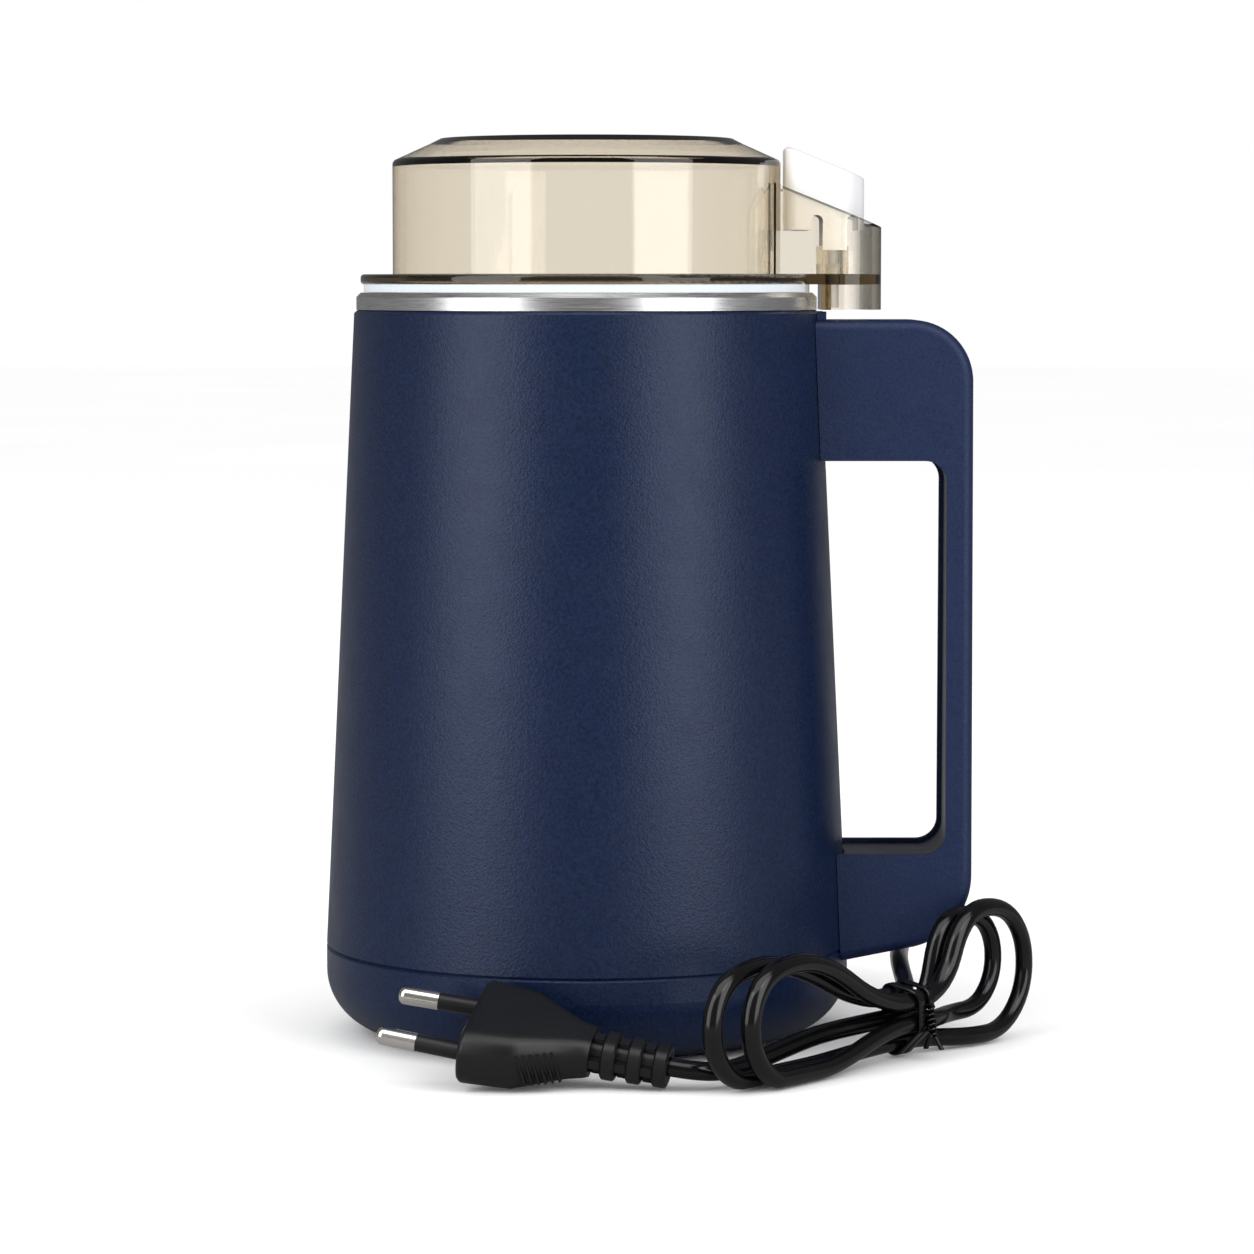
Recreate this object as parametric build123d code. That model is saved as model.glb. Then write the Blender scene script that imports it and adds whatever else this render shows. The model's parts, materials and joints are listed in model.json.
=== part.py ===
from build123d import *
import math
import os

# Electric blade grinder shaped like a mug. Millimetres, +Z up, handle towards +X.
# The origin is on the spindle axis, on the surface that the foot stands on.

# Clearances
GAP = 0.3  # between pieces of different bodies
FIT = 0.02  # press fits and seats within one body
RUN = 0.05  # radial running fit on the shaft
SEAT = 0.1  # loose seats within one body

# Body and base
BODY_TOP_Z = 167.2
BODY_TOP_R = 53.5
SEAM_Z = 20.5
BODY_SEAM_R = 60.5
BODY_WALL = 2.4
BODY_EDGE = 0.8
SEAM_GROOVE = 0.5
BASE_WALL = 2.4
BASE_ROUND = 14.0
BASE_FLOOR_Z = 1.0
BASE_SPIGOT = 3.0
FOOT_IN_R = 37.0
FOOT_OUT_R = 44.0
FOOT_DEPTH = 1.2
VENT_COUNT = 16
VENT_IN_R = 12.0
VENT_OUT_R = 33.0
VENT_WIDTH = 2.6

# Columns in the body, which carry the motor deck and take the base screws
COLUMN_COUNT = 3
COLUMN_FIRST_DEG = 90.0
COLUMN_INSET = 9.73  # of its axis, from the body's outside at the deck
COLUMN_R = 3.9
COLUMN_BOTTOM_Z = 24.0
COLUMN_WEB = 2.4
PILOT_R = 1.25
PILOT_DEPTH = 14.0
SCREW_R = 1.5
SCREW_HEAD_R = 2.9
SCREW_HEAD_H = 2.0
SCREW_SPARE = 2.0  # empty end of a pilot hole
BASE_HEAD_DEPTH = 7.0
EDGE_CUT = 0.4

# Grinding bowl
BOWL_R = BODY_TOP_R - 8.5
BOWL_WALL = 1.0
BOWL_FLOOR_Z = 122.0
BOWL_CORNER = 8.0
RIM_R = BODY_TOP_R - 0.5
RIM_H = 3.9
BOWL_HOLE_R = 6.0
BOWL_SCREW_R = 24.0

# Spindle, blade and motor
SHAFT_R = 3.0
SHAFT_END_Z = 14.5
STUD_R = 2.0
BLADE_Z = 126.3
BLADE_T = 1.6
BLADE_SPAN_R = BOWL_R - 7.0
BLADE_ROOT_R = 13.0
BLADE_WIDTH = 13.0
BLADE_TIP_WIDTH = 7.0
BLADE_TWIST_DEG = 14.0
HUB_R = 5.0
NUT_FLATS = 8.0
NUT_H = 4.6
NUT_ROOF = 1.2
BLADE_SWEEP = 3.0
SEAL_FLANGE_R = 9.0
SEAL_FLANGE_T = 1.2
DECK_Z = 108.0
DECK_T = 4.0
DECK_R = 34.0
DECK_ARM = 11.0
BEARING_R = 9.5
BEARING_W = 6.0
BEARING_LIP = 2.0
BEARING_HOUSING_R = 13.0
DAMPER_T = 2.0
DAMPER_IN_R = 20.0
DAMPER_OUT_R = 28.5
STACK_Z = 62.0
STACK_H = 30.0
STACK_W = 74.0
STACK_D = 66.0
STACK_R = 40.0
BORE_R = 20.6
ARMATURE_R = 20.0
ARMATURE_SLOTS = 12
SLOT_WIDTH = 2.4
SLOT_DEPTH = 5.0
WINDING_R = 17.5
WINDING_H = 8.0
POLE_HALF = 15.0
COIL_T = 8.0
COIL_IN_Y = 21.6
YOKE_T = 3.8
BOLT_EDGE = 5.0
BOLT_R = 2.0
BOLT_HEAD_R = 3.6
BOLT_HEAD_H = 2.8
LEG_R = 4.6
LOWER_Z = 33.0
LOWER_T = 7.0
LOWER_BAR = 26.0
COMMUTATOR_R = 10.5
COMMUTATOR_Z = 42.0
COMMUTATOR_H = 10.0
RISER_STEP = 1.5
HOLDER_START = 1.0
BRUSH_W = 6.0
BRUSH_L = 13.0
HOLDER_WALL = 1.4
HOLDER_L = 15.0
SPRING_LEAF_T = 0.5
FAN_Z = 17.0
FAN_H = 11.0
FAN_R = 34.0
FAN_HUB_R = 9.0
FAN_BLADES = 9
FAN_BLADE_T = 1.6
FAN_DISC_T = 1.6

# Lid
LID_R = BOWL_R - 0.4
LID_WALL = 2.6
LID_TOP_Z = 206.3
LID_TOP_T = 2.6
LID_SHOULDER_Z = 201.2
LID_CROWN_R = LID_R - 8.6
LID_CROWN_Z = 205.1
SPIGOT_DEPTH = 5.5
FLANGE_EDGE = 0.8
SHOULDER_EDGE = 1.2
FLANGE_R = BODY_TOP_R - 1.5
FLANGE_Z = 173.0
FLANGE_T = 2.3
SEAL_R = BODY_TOP_R - 2.2
TAB_X = BODY_TOP_R + 14.2
TAB_HALF = 13.0
TAB_WALL = 2.0
TAB_CORNER = 11.0
TAB_EDGE = 0.8
TAB_SKIRT = 5.8
TAB_SLOPE_DEG = 22.0
TAB_ROOT_Z = 195.6
TAB_ROOT_X = LID_R - 0.6

# Push button in the lid's tab
BUTTON_TRAVEL = 5.0
BUTTON_LEFT_X = LID_R + 0.8
BUTTON_RIGHT_X = TAB_X - 4.0
BUTTON_TOP_Z = 204.6
BUTTON_SKIRT_Z = 185.4
BUTTON_WALL = 1.8
BUTTON_CORNER = 2.6
BUTTON_END_CORNER = TAB_CORNER - TAB_WALL - 0.5
BUTTON_EDGE = 0.7
STEM_X = BODY_TOP_R + 3.1
STEM_R = 1.5
SLEEVE_R = 3.8
SLEEVE_TOP_Z = 181.8
SLEEVE_SLOT = 2.4
RIB_T = 1.4
SPRING_WIRE_R = 0.4
SPRING_R = 2.2
SPRING_TURNS = 5
SPRING_LENGTH = 10.6
TONGUE_HALF = 2.7
TONGUE_Z = 180.8
NOTCH_WIDTH = 2.6
NOTCH_TOP_Z = 188.8

# Handle
HANDLE_TOP_Z = 164.9
HANDLE_X = BODY_TOP_R + 34.9
HANDLE_TOP_HALF = 13.0
HANDLE_BOTTOM_HALF = 17.0
HANDLE_FOOT_Z = 18.4
HANDLE_FOOT_SLOPE_DEG = 11.0
HANDLE_TOP_CORNER = 14.0
HANDLE_FOOT_CORNER = 17.0
HANDLE_WALL = 2.2
HANDLE_EDGE = 2.4
GRIP_IN_X = HANDLE_X - 6.1
GRIP_TOP_Z = 132.8
GRIP_FOOT_Z = 42.7
GRIP_CORNER = 5.0
COVER_RECESS = 0.9
COVER_T = 1.6
LUG_H = 1.9
LUG_T = 2.6
BOSS_R = 3.6
BOSS_L = 14.0
UPPER_BOSS_Z = 140.6
LOWER_BOSS_Z = 30.5
HEAD_PAD_R = 4.4
HEAD_PAD_H = 0.4
HANDLE_SPAN = 60.0  # half width of the blocks that cut the handle

# Switch in the upper arm of the handle
SWITCH_L = 19.8
SWITCH_W = 6.4
SWITCH_H = 10.2
SWITCH_Z = 148.0
SHELF_T = 2.0
SWITCH_EDGE = 0.6
SWITCH_HOLE_R = 1.5
SWITCH_HOLE_H = 3.0
PLUNGER_REACH = 4.0
PLUNGER_TRAVEL = 2.0
PLUNGER_R = 2.5
PLUNGER_PIN_R = 1.2
PLUNGER_TOP_DROP = 0.5

# Cord, gland, plug and tie
CORD_D = 4.4
GLAND_DEG = 56.0
GLAND_Z = 32.0
GLAND_HOLE_R = 5.0
GLAND_FLANGE_R = 6.8
GLAND_LENGTH = 24.0
GLAND_TIP_R = 3.3
GLAND_RIBS = 5
GLAND_STANDOFF = 0.5
GLAND_INSIDE = 0.9
GLAND_FLANGE_T = 1.8
GLAND_TAPER = 0.6
GLAND_RIB_STEP = 0.4

HANK_X = 72.2
HANK_Y = -41.4
HANK_HEADING_DEG = 50.3
HANK_SIDE = 2.45  # of the two columns of strands at the waist, from its middle
HANK_COLUMN = (-1, -1, 1, 1, -1)  # each strand's column: back or front
HANK_HEIGHT = (14.2, 3.6, 13.25, 8.35, 9.3)
HANK_FOLD_COLUMN = (-1, 1, 1, -1)
HANK_REACH = (67.0, 42.0, 60.0, 36.5)
HANK_LOW = (2.5, 2.5, 2.5, 7.6)
HANK_RISE = (24.0, 29.0, 24.4, 22.0)
HANK_CLIMB = 40.0

LEAD_EXIT = 8.0
LEAD_ROUTE = (
    (59.3, 80.5, 31.3),
    (68.0, 80.2, 29.5),
    (74.8, 74.9, 26.5),
    (77.8, 66.0, 22.5),
    (77.6, 52.0, 18.8),
    (75.8, 36.0, 17.0),
    (74.0, 18.0, 16.4),
    (72.6, 0.0, 17.0),
    (71.9, -18.0, 17.2),
)
LEAD_ARRIVAL = 3.4
TAIL_EXIT = 9.0
TAIL_ROUTE = (
    (51.6, -55.4, 7.9),
    (43.2, -64.3, 6.0),
    (37.2, -71.6, 4.6),
    (31.2, -79.0, 3.8),
)
PLUG_EXIT = 6.0

PLUG_FACE = (-24.2, -73.5, 11.8)
PLUG_AXIS = (-0.97, 0.19, 0.15)
PLUG_ROLL_DEG = 21.0
PLUG_WIDTH = 30.0
PLUG_THICK = 13.0
PLUG_SHOULDER = 12.0
PLUG_TAPER = 0.92
PLUG_NECK = 27.0
PLUG_NECK_WIDTH = 11.6
PLUG_NECK_THICK = 9.4
PLUG_LENGTH = 44.0
PLUG_RIBS = 3
PLUG_TIP_WIDTH = 9.0
PLUG_CORE_R = 3.2
PLUG_ROUND = 0.4  # corner radius of the plug's sections, as a share of their thickness
PLUG_RIB_SHARE = 0.55
PIN_R = 2.0
PIN_LENGTH = 19.0
PIN_SLEEVE = 10.0
PIN_CORE_R = 1.2
PIN_PITCH_FACE = 18.6
PIN_PITCH_TIP = 17.5
TIE_WIDTH = 2.0
TIE_T = 0.8
TIE_SPACING = 3.6
TIE_KNOT_R = 1.5


# Sizes that follow from the ones above
DECK_TOP_Z = DECK_Z + DECK_T
RIM_TOP_Z = BODY_TOP_Z + RIM_H
BOWL_UNDER_Z = BOWL_FLOOR_Z - BOWL_WALL
DAMPER_Z = BOWL_UNDER_Z - DAMPER_T
CORD_R = CORD_D / 2
BLADE_TOP_Z = BLADE_Z + BLADE_T
STACK_TOP_Z = STACK_Z + STACK_H
COIL_DEPTH = STACK_D / 2 - COIL_IN_Y - YOKE_T
BOLT_X = STACK_W / 2 - BOLT_EDGE
SPRING_TOP_Z = SLEEVE_TOP_Z + SPRING_LENGTH
FLANGE_TOP_Z = FLANGE_Z + FLANGE_T
STEM_BOTTOM_Z = HANDLE_TOP_Z - PLUNGER_TOP_DROP + BUTTON_TRAVEL - PLUNGER_TRAVEL + GAP


def body_radius(z):
    """Outer radius of the tapered body at a height."""
    slope = (BODY_SEAM_R - BODY_TOP_R) / (BODY_TOP_Z - SEAM_Z)
    return BODY_TOP_R + (BODY_TOP_Z - z) * slope


COLUMN_PITCH_R = body_radius(DECK_Z) - COLUMN_INSET


def ring(outer_r, inner_r, z, height):
    """Flat ring about the spindle axis."""
    outer = Cylinder(outer_r, height, align=(Align.CENTER, Align.CENTER, Align.MIN))
    inner = Cylinder(inner_r, height, align=(Align.CENTER, Align.CENTER, Align.MIN))
    return Pos(0, 0, z) * (outer - inner)


def rod(radius, x, y, z, height):
    """Upright cylinder standing on z."""
    solid = Cylinder(radius, height, align=(Align.CENTER, Align.CENTER, Align.MIN))
    return Pos(x, y, z) * solid


def bar_x(radius, x, y, z, length):
    """Cylinder along +X that starts at x."""
    solid = Cylinder(radius, length, align=(Align.CENTER, Align.CENTER, Align.MIN))
    return Pos(x, y, z) * Rot(0, 90, 0) * solid


def block(x0, x1, y0, y1, z0, z1):
    """Box between two corners."""
    box = Box(x1 - x0, y1 - y0, z1 - z0, align=(Align.MIN, Align.MIN, Align.MIN))
    return Pos(x0, y0, z0) * box


def turned(*points):
    """Solid of revolution about Z from an outline of (radius, height) points."""
    outline = Polyline(*[(r, 0, z) for r, z in points], close=True)
    return revolve(make_face(outline), Axis.Z)


def body_cone(grow=0.0):
    """The body's full outer cone, grown outwards, from under the base to above the rim."""
    low = 0
    high = LID_TOP_Z
    return turned(
        (0, low), (body_radius(low) + grow, low), (body_radius(high) + grow, high), (0, high)
    )


def around(count, first_deg=0.0):
    """Evenly spaced angles in degrees."""
    return [first_deg + 360.0 * i / count for i in range(count)]


def polar(radius, deg):
    """Point in plan at a radius and an angle."""
    return radius * math.cos(math.radians(deg)), radius * math.sin(math.radians(deg))


def screw(x, y, z, length):
    """Pan-head screw, head downwards at z, shank up."""
    head = rod(SCREW_HEAD_R, x, y, z, SCREW_HEAD_H)
    return head + rod(PILOT_R - FIT, x, y, z + SCREW_HEAD_H, length)


# Casing

def handle_screw_places():
    """Height and side of each screw that holds the handle to the body."""
    places = []
    for z in (UPPER_BOSS_Z, LOWER_BOSS_Z):
        side = handle_half(z) - HANDLE_WALL - BOSS_R + 2 * SEAT
        places.append((side, z))
        places.append((-side, z))
    return places


def head_seat_x(side, z):
    """Inner seat of a handle screw's head, inside the body wall."""
    inner = body_radius(z) - BODY_WALL
    return math.sqrt(inner**2 - (abs(side) + HEAD_PAD_R) ** 2) - HEAD_PAD_H


def make_body_shell():
    inner_top = BODY_TOP_R - BODY_WALL
    inner_seam = BODY_SEAM_R - BODY_WALL
    shell = turned(
        (inner_seam, SEAM_Z),
        (BODY_SEAM_R - SEAM_GROOVE, SEAM_Z),
        (body_radius(SEAM_Z + SEAM_GROOVE), SEAM_Z + SEAM_GROOVE),
        (body_radius(BODY_TOP_Z - BODY_EDGE), BODY_TOP_Z - BODY_EDGE),
        (BODY_TOP_R - BODY_EDGE, BODY_TOP_Z),
        (inner_top, BODY_TOP_Z),
    )
    core = body_cone(-BODY_WALL / 2)
    height = DECK_Z - COLUMN_BOTTOM_Z
    for deg in around(COLUMN_COUNT, COLUMN_FIRST_DEG):
        column = rod(COLUMN_R, COLUMN_PITCH_R, 0, COLUMN_BOTTOM_Z, height)
        web = block(
            COLUMN_PITCH_R, BODY_SEAM_R, -COLUMN_WEB / 2, COLUMN_WEB / 2, COLUMN_BOTTOM_Z, DECK_Z
        )
        pilot_low = rod(PILOT_R, COLUMN_PITCH_R, 0, COLUMN_BOTTOM_Z, PILOT_DEPTH)
        pilot_high = rod(PILOT_R, COLUMN_PITCH_R, 0, DECK_Z - PILOT_DEPTH, PILOT_DEPTH)
        shell += (Rot(0, 0, deg) * (column + web)) & core
        shell -= Rot(0, 0, deg) * (pilot_low + pilot_high)
    for side, z in handle_screw_places():
        seat = head_seat_x(side, z)
        pad = bar_x(HEAD_PAD_R, seat, side, z, BODY_SEAM_R)
        shell += pad & core
        shell -= bar_x(SCREW_R, seat - 1, side, z, BODY_SEAM_R)
    hole = Cylinder(GLAND_HOLE_R, 20)
    shell -= gland_plane() * hole
    return shell


def make_base_cover():
    floor = BASE_FLOOR_Z
    outer = BODY_SEAM_R
    inner = outer - BASE_WALL
    spigot_top = SEAM_Z + BASE_SPIGOT
    spigot_r = body_radius(spigot_top) - BODY_WALL - SEAT
    spigot_in = spigot_r - BASE_WALL
    inner_round = BASE_ROUND - BASE_WALL
    centre = (outer - BASE_ROUND, floor + BASE_ROUND)
    outer_arc = CenterArc(centre, BASE_ROUND, -90, 90)
    inner_arc = CenterArc(centre, inner_round, -90, 90)
    wall = Polyline(
        (outer, floor + BASE_ROUND),
        (outer, SEAM_Z - SEAM_GROOVE),
        (outer - SEAM_GROOVE, SEAM_Z),
        (spigot_r, SEAM_Z),
        (spigot_r, spigot_top),
        (spigot_in, spigot_top),
        (spigot_in, SEAM_Z - BASE_WALL),
        (inner, SEAM_Z - 2 * BASE_WALL),
        (inner, floor + BASE_ROUND),
    )
    closing = Polyline(
        (inner - inner_round, floor + BASE_WALL),
        (0, floor + BASE_WALL),
        (0, floor),
        (outer - BASE_ROUND, floor),
    )
    face = make_face(outer_arc.edges() + wall.edges() + inner_arc.edges() + closing.edges())
    cover = revolve(Plane.XZ * face, Axis.Z)
    tube_r = SCREW_HEAD_R + GAP + BASE_WALL / 2
    for deg in around(COLUMN_COUNT, COLUMN_FIRST_DEG):
        x, y = polar(COLUMN_PITCH_R, deg)
        cover += rod(tube_r, x, y, floor + BASE_WALL / 2, COLUMN_BOTTOM_Z - floor - BASE_WALL / 2)
        cover -= rod(SCREW_HEAD_R + GAP, x, y, floor, base_head_z() + SCREW_HEAD_H - floor)
        cover -= rod(SCREW_R, x, y, floor, COLUMN_BOTTOM_Z)
    slot_length = VENT_OUT_R - VENT_IN_R
    slot = extrude(SlotOverall(slot_length, VENT_WIDTH), amount=BASE_WALL * 3, both=True)
    slot = Pos((VENT_IN_R + VENT_OUT_R) / 2, 0, floor) * slot
    for deg in around(VENT_COUNT):
        cover -= Rot(0, 0, deg) * slot
    groove = ring(FOOT_OUT_R + SEAT, FOOT_IN_R - SEAT, floor, FOOT_DEPTH)
    return cover - groove


def base_head_z():
    """Height of the underside of the base screws' heads."""
    return BASE_FLOOR_Z + BASE_HEAD_DEPTH


def make_base_screws():
    screws = []
    for deg in around(COLUMN_COUNT, COLUMN_FIRST_DEG):
        x, y = polar(COLUMN_PITCH_R, deg)
        length = COLUMN_BOTTOM_Z + PILOT_DEPTH - SCREW_SPARE - base_head_z() - SCREW_HEAD_H
        screws.append(screw(x, y, base_head_z(), length))
    return Compound(children=screws)


def make_foot_ring():
    foot = ring(FOOT_OUT_R, FOOT_IN_R, 0, BASE_FLOOR_Z + FOOT_DEPTH)
    return chamfer(foot.faces().sort_by(Axis.Z)[0].edges(), EDGE_CUT)


# Bowl and blade

def make_grinding_bowl():
    outer = BOWL_R + BOWL_WALL
    skirt_in = RIM_R - BOWL_WALL
    under_rim = RIM_TOP_Z - BOWL_WALL
    curl = BOWL_WALL
    side_z = BOWL_FLOOR_Z + BOWL_CORNER
    corner_r = BOWL_R - BOWL_CORNER
    inner_arc = CenterArc((corner_r, side_z), BOWL_CORNER, -90, 90)
    outer_arc = CenterArc((corner_r, side_z), BOWL_CORNER + BOWL_WALL, -90, 90)
    rim = Polyline(
        (BOWL_R, side_z),
        (BOWL_R, RIM_TOP_Z - curl),
        (BOWL_R + curl, RIM_TOP_Z),
        (RIM_R - curl, RIM_TOP_Z),
        (RIM_R, RIM_TOP_Z - curl),
        (RIM_R, BODY_TOP_Z),
        (skirt_in, BODY_TOP_Z),
        (skirt_in, under_rim),
        (outer, under_rim),
        (outer, side_z),
    )
    floor = Polyline(
        (corner_r, BOWL_UNDER_Z),
        (BOWL_HOLE_R, BOWL_UNDER_Z),
        (BOWL_HOLE_R, BOWL_FLOOR_Z),
        (corner_r, BOWL_FLOOR_Z),
    )
    face = make_face(inner_arc.edges() + rim.edges() + outer_arc.edges() + floor.edges())
    bowl = revolve(Plane.XZ * face, Axis.Z)
    for deg in around(COLUMN_COUNT):
        x, y = polar(BOWL_SCREW_R, deg)
        bowl -= rod(SCREW_R, x, y, BOWL_UNDER_Z - 1, BOWL_WALL + 2)
    return bowl


def make_bowl_screws():
    screws = []
    shank = BOWL_FLOOR_Z - DECK_TOP_Z - 1
    for deg in around(COLUMN_COUNT):
        x, y = polar(BOWL_SCREW_R, deg)
        head = rod(SCREW_HEAD_R, x, y, BOWL_FLOOR_Z, SCREW_HEAD_H)
        head = fillet(head.edges().sort_by(Axis.Z)[-1], SCREW_HEAD_H / 3)
        screws.append(head + rod(PILOT_R - FIT, x, y, BOWL_FLOOR_Z - shank, shank))
    return Compound(children=screws)


def make_bowl_damper():
    damper = ring(DAMPER_OUT_R, DAMPER_IN_R, DAMPER_Z, DAMPER_T)
    for deg in around(COLUMN_COUNT):
        x, y = polar(BOWL_SCREW_R, deg)
        damper -= rod(SCREW_R, x, y, DAMPER_Z, DAMPER_T)
    return damper


def make_shaft_seal():
    neck = ring(BOWL_HOLE_R - SEAT, SHAFT_R + RUN, BOWL_UNDER_Z - 1, BOWL_WALL + 1)
    flange = ring(SEAL_FLANGE_R, SHAFT_R + RUN, BOWL_FLOOR_Z, SEAL_FLANGE_T)
    return neck + flange


def blade_wing():
    """One tapered wing along +X, twisted about its own length."""
    outline = Polyline(
        (0, -BLADE_WIDTH / 2),
        (BLADE_ROOT_R, -BLADE_WIDTH / 2),
        (BLADE_SPAN_R, -BLADE_TIP_WIDTH / 2 + BLADE_SWEEP),
        (BLADE_SPAN_R - BLADE_SWEEP, BLADE_TIP_WIDTH / 2 + BLADE_SWEEP / 2),
        (BLADE_ROOT_R, BLADE_WIDTH / 2),
        (0, BLADE_WIDTH / 2),
        close=True,
    )
    return extrude(make_face(outline), amount=BLADE_T)


def make_blade():
    centre = Pos(0, 0, BLADE_T / 2) * Box(2 * BLADE_ROOT_R, BLADE_WIDTH, BLADE_T)
    wing = blade_wing()
    outer_part = block(BLADE_ROOT_R - 1, BLADE_SPAN_R + 5, -20, 20, -20, 20)
    middle = Pos(0, 0, BLADE_T / 2)
    back = Pos(0, 0, -BLADE_T / 2)
    first = (middle * Rot(BLADE_TWIST_DEG, 0, 0) * back * wing) & outer_part
    second = (middle * Rot(-BLADE_TWIST_DEG, 0, 0) * back * wing) & outer_part
    plate = centre + first + Rot(0, 0, 180) * second
    blade = Pos(0, 0, BLADE_Z) * plate
    hub_z = BOWL_FLOOR_Z + SEAL_FLANGE_T + GAP
    blade += rod(HUB_R, 0, 0, hub_z, BLADE_Z - hub_z)
    blade -= rod(STUD_R + FIT, 0, 0, BLADE_Z, BLADE_T)
    blade -= rod(SHAFT_R + FIT, 0, 0, hub_z, BLADE_Z - hub_z)
    return blade


def make_blade_nut():
    hexagon = extrude(RegularPolygon(NUT_FLATS / 2, 6, major_radius=False), amount=NUT_H)
    dome = Pos(0, 0, -NUT_H * 0.9) * Sphere(NUT_H * 1.9)
    nut = Pos(0, 0, BLADE_TOP_Z) * (hexagon & dome)
    return nut - rod(STUD_R + FIT, 0, 0, BLADE_TOP_Z, NUT_H - NUT_ROOF)


# Motor

def make_motor_shaft():
    shaft = rod(SHAFT_R, 0, 0, SHAFT_END_Z, BLADE_Z - SHAFT_END_Z)
    return shaft + rod(STUD_R, 0, 0, BLADE_Z, BLADE_T + NUT_H - NUT_ROOF - SEAT)


def make_upper_motor_bracket():
    deck = rod(DECK_R, 0, 0, DECK_Z, DECK_T)
    arm_r = COLUMN_PITCH_R + COLUMN_R
    for deg in around(COLUMN_COUNT, COLUMN_FIRST_DEG):
        arm = block(0, COLUMN_PITCH_R, -DECK_ARM / 2, DECK_ARM / 2, DECK_Z, DECK_TOP_Z)
        tip = rod(arm_r - COLUMN_PITCH_R, COLUMN_PITCH_R, 0, DECK_Z, DECK_T)
        deck += Rot(0, 0, deg) * (arm + tip)
    housing_z = DECK_Z - BEARING_W / 2
    deck += rod(BEARING_HOUSING_R, 0, 0, housing_z, BEARING_W * 2)
    deck += ring(DAMPER_OUT_R, DAMPER_IN_R, DECK_TOP_Z, DAMPER_Z - DECK_TOP_Z)
    for sign in (-1, 1):
        deck += rod(LEG_R, sign * BOLT_X, 0, STACK_TOP_Z, DECK_Z - STACK_TOP_Z)
        deck -= rod(BOLT_R + FIT, sign * BOLT_X, 0, STACK_TOP_Z, DECK_TOP_Z - STACK_TOP_Z)
    deck -= rod(SHAFT_R + 1, 0, 0, housing_z, BEARING_W * 2)
    deck -= rod(BEARING_R + FIT, 0, 0, upper_bearing_z(), BEARING_W * 2)
    for deg in around(COLUMN_COUNT, COLUMN_FIRST_DEG):
        x, y = polar(COLUMN_PITCH_R, deg)
        deck -= rod(SCREW_R, x, y, DECK_Z, DECK_T)
    for deg in around(COLUMN_COUNT):
        x, y = polar(BOWL_SCREW_R, deg)
        deck -= rod(PILOT_R, x, y, DECK_TOP_Z, DAMPER_Z - DECK_TOP_Z)
    return deck


def upper_bearing_z():
    """Underside of the upper bearing."""
    return DECK_Z + BEARING_LIP


def lower_bearing_z():
    """Underside of the lower bearing."""
    return LOWER_Z + LOWER_T - BEARING_W


def make_bearing(z):
    bearing = ring(BEARING_R, SHAFT_R + RUN, z, BEARING_W)
    circles = bearing.edges().filter_by(GeomType.CIRCLE)
    return chamfer(circles.group_by(SortBy.RADIUS)[-1], EDGE_CUT)


def make_lower_motor_bracket():
    bar = Pos(0, 0, LOWER_Z + LOWER_T / 2) * Box(2 * BOLT_X, LOWER_BAR, LOWER_T)
    for sign in (-1, 1):
        bar += rod(LOWER_BAR / 4, sign * BOLT_X, 0, LOWER_Z, LOWER_T)
        bar += rod(LEG_R, sign * BOLT_X, 0, LOWER_Z, STACK_Z - LOWER_Z)
        bar -= rod(BOLT_R + FIT, sign * BOLT_X, 0, LOWER_Z, STACK_Z - LOWER_Z)
    bar -= rod(SHAFT_R + 1, 0, 0, LOWER_Z, LOWER_T)
    return bar - rod(BEARING_R + FIT, 0, 0, lower_bearing_z(), LOWER_T)


def make_motor_bolts():
    bolts = []
    for sign in (-1, 1):
        x = sign * BOLT_X
        head = rod(BOLT_HEAD_R, x, 0, LOWER_Z - BOLT_HEAD_H, BOLT_HEAD_H)
        bolts.append(head + rod(BOLT_R, x, 0, LOWER_Z, DECK_TOP_Z - LOWER_Z))
    return Compound(children=bolts)


def make_deck_screws():
    screws = []
    for deg in around(COLUMN_COUNT, COLUMN_FIRST_DEG):
        x, y = polar(COLUMN_PITCH_R, deg)
        head = rod(SCREW_HEAD_R, x, y, DECK_TOP_Z, SCREW_HEAD_H)
        depth = DECK_T + PILOT_DEPTH - SCREW_SPARE
        screws.append(head + rod(PILOT_R - FIT, x, y, DECK_TOP_Z - depth, depth))
    return Compound(children=screws)


def make_stator_core():
    outline = Rectangle(STACK_W, STACK_D) & Circle(STACK_R)
    stack = extrude(outline - Circle(BORE_R), amount=STACK_H)
    coil_half = POLE_HALF + COIL_T
    window_y0 = COIL_IN_Y - SEAT
    window_y1 = COIL_IN_Y + COIL_DEPTH + SEAT
    for side_x in (-1, 1):
        for side_y in (-1, 1):
            window = block(POLE_HALF, coil_half + SEAT, window_y0, window_y1, 0, STACK_H)
            stack -= to_quarter(window, side_x, side_y)
    stack -= rod(BOLT_R + FIT, BOLT_X, 0, 0, STACK_H)
    stack -= rod(BOLT_R + FIT, -BOLT_X, 0, 0, STACK_H)
    return Pos(0, 0, STACK_Z) * stack


def to_quarter(solid, side_x, side_y):
    """Mirror a solid to the chosen quarter."""
    if side_x < 0:
        solid = mirror(solid, Plane.YZ)
    if side_y < 0:
        solid = mirror(solid, Plane.XZ)
    return solid


def make_field_coils():
    half = POLE_HALF + COIL_T
    low = STACK_Z - COIL_T
    high = STACK_TOP_Z + COIL_T
    y0 = COIL_IN_Y
    y1 = COIL_IN_Y + COIL_DEPTH
    outer = block(-half, half, y0, y1, low, high)
    outer = fillet(outer.edges().filter_by(Axis.Y), COIL_T * 0.6)
    inside = POLE_HALF + SEAT
    hole = block(-inside, inside, y0, y1, STACK_Z - SEAT, STACK_TOP_Z + SEAT)
    coil = outer - hole
    return Compound(children=[coil, mirror(coil, Plane.XZ)])


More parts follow.
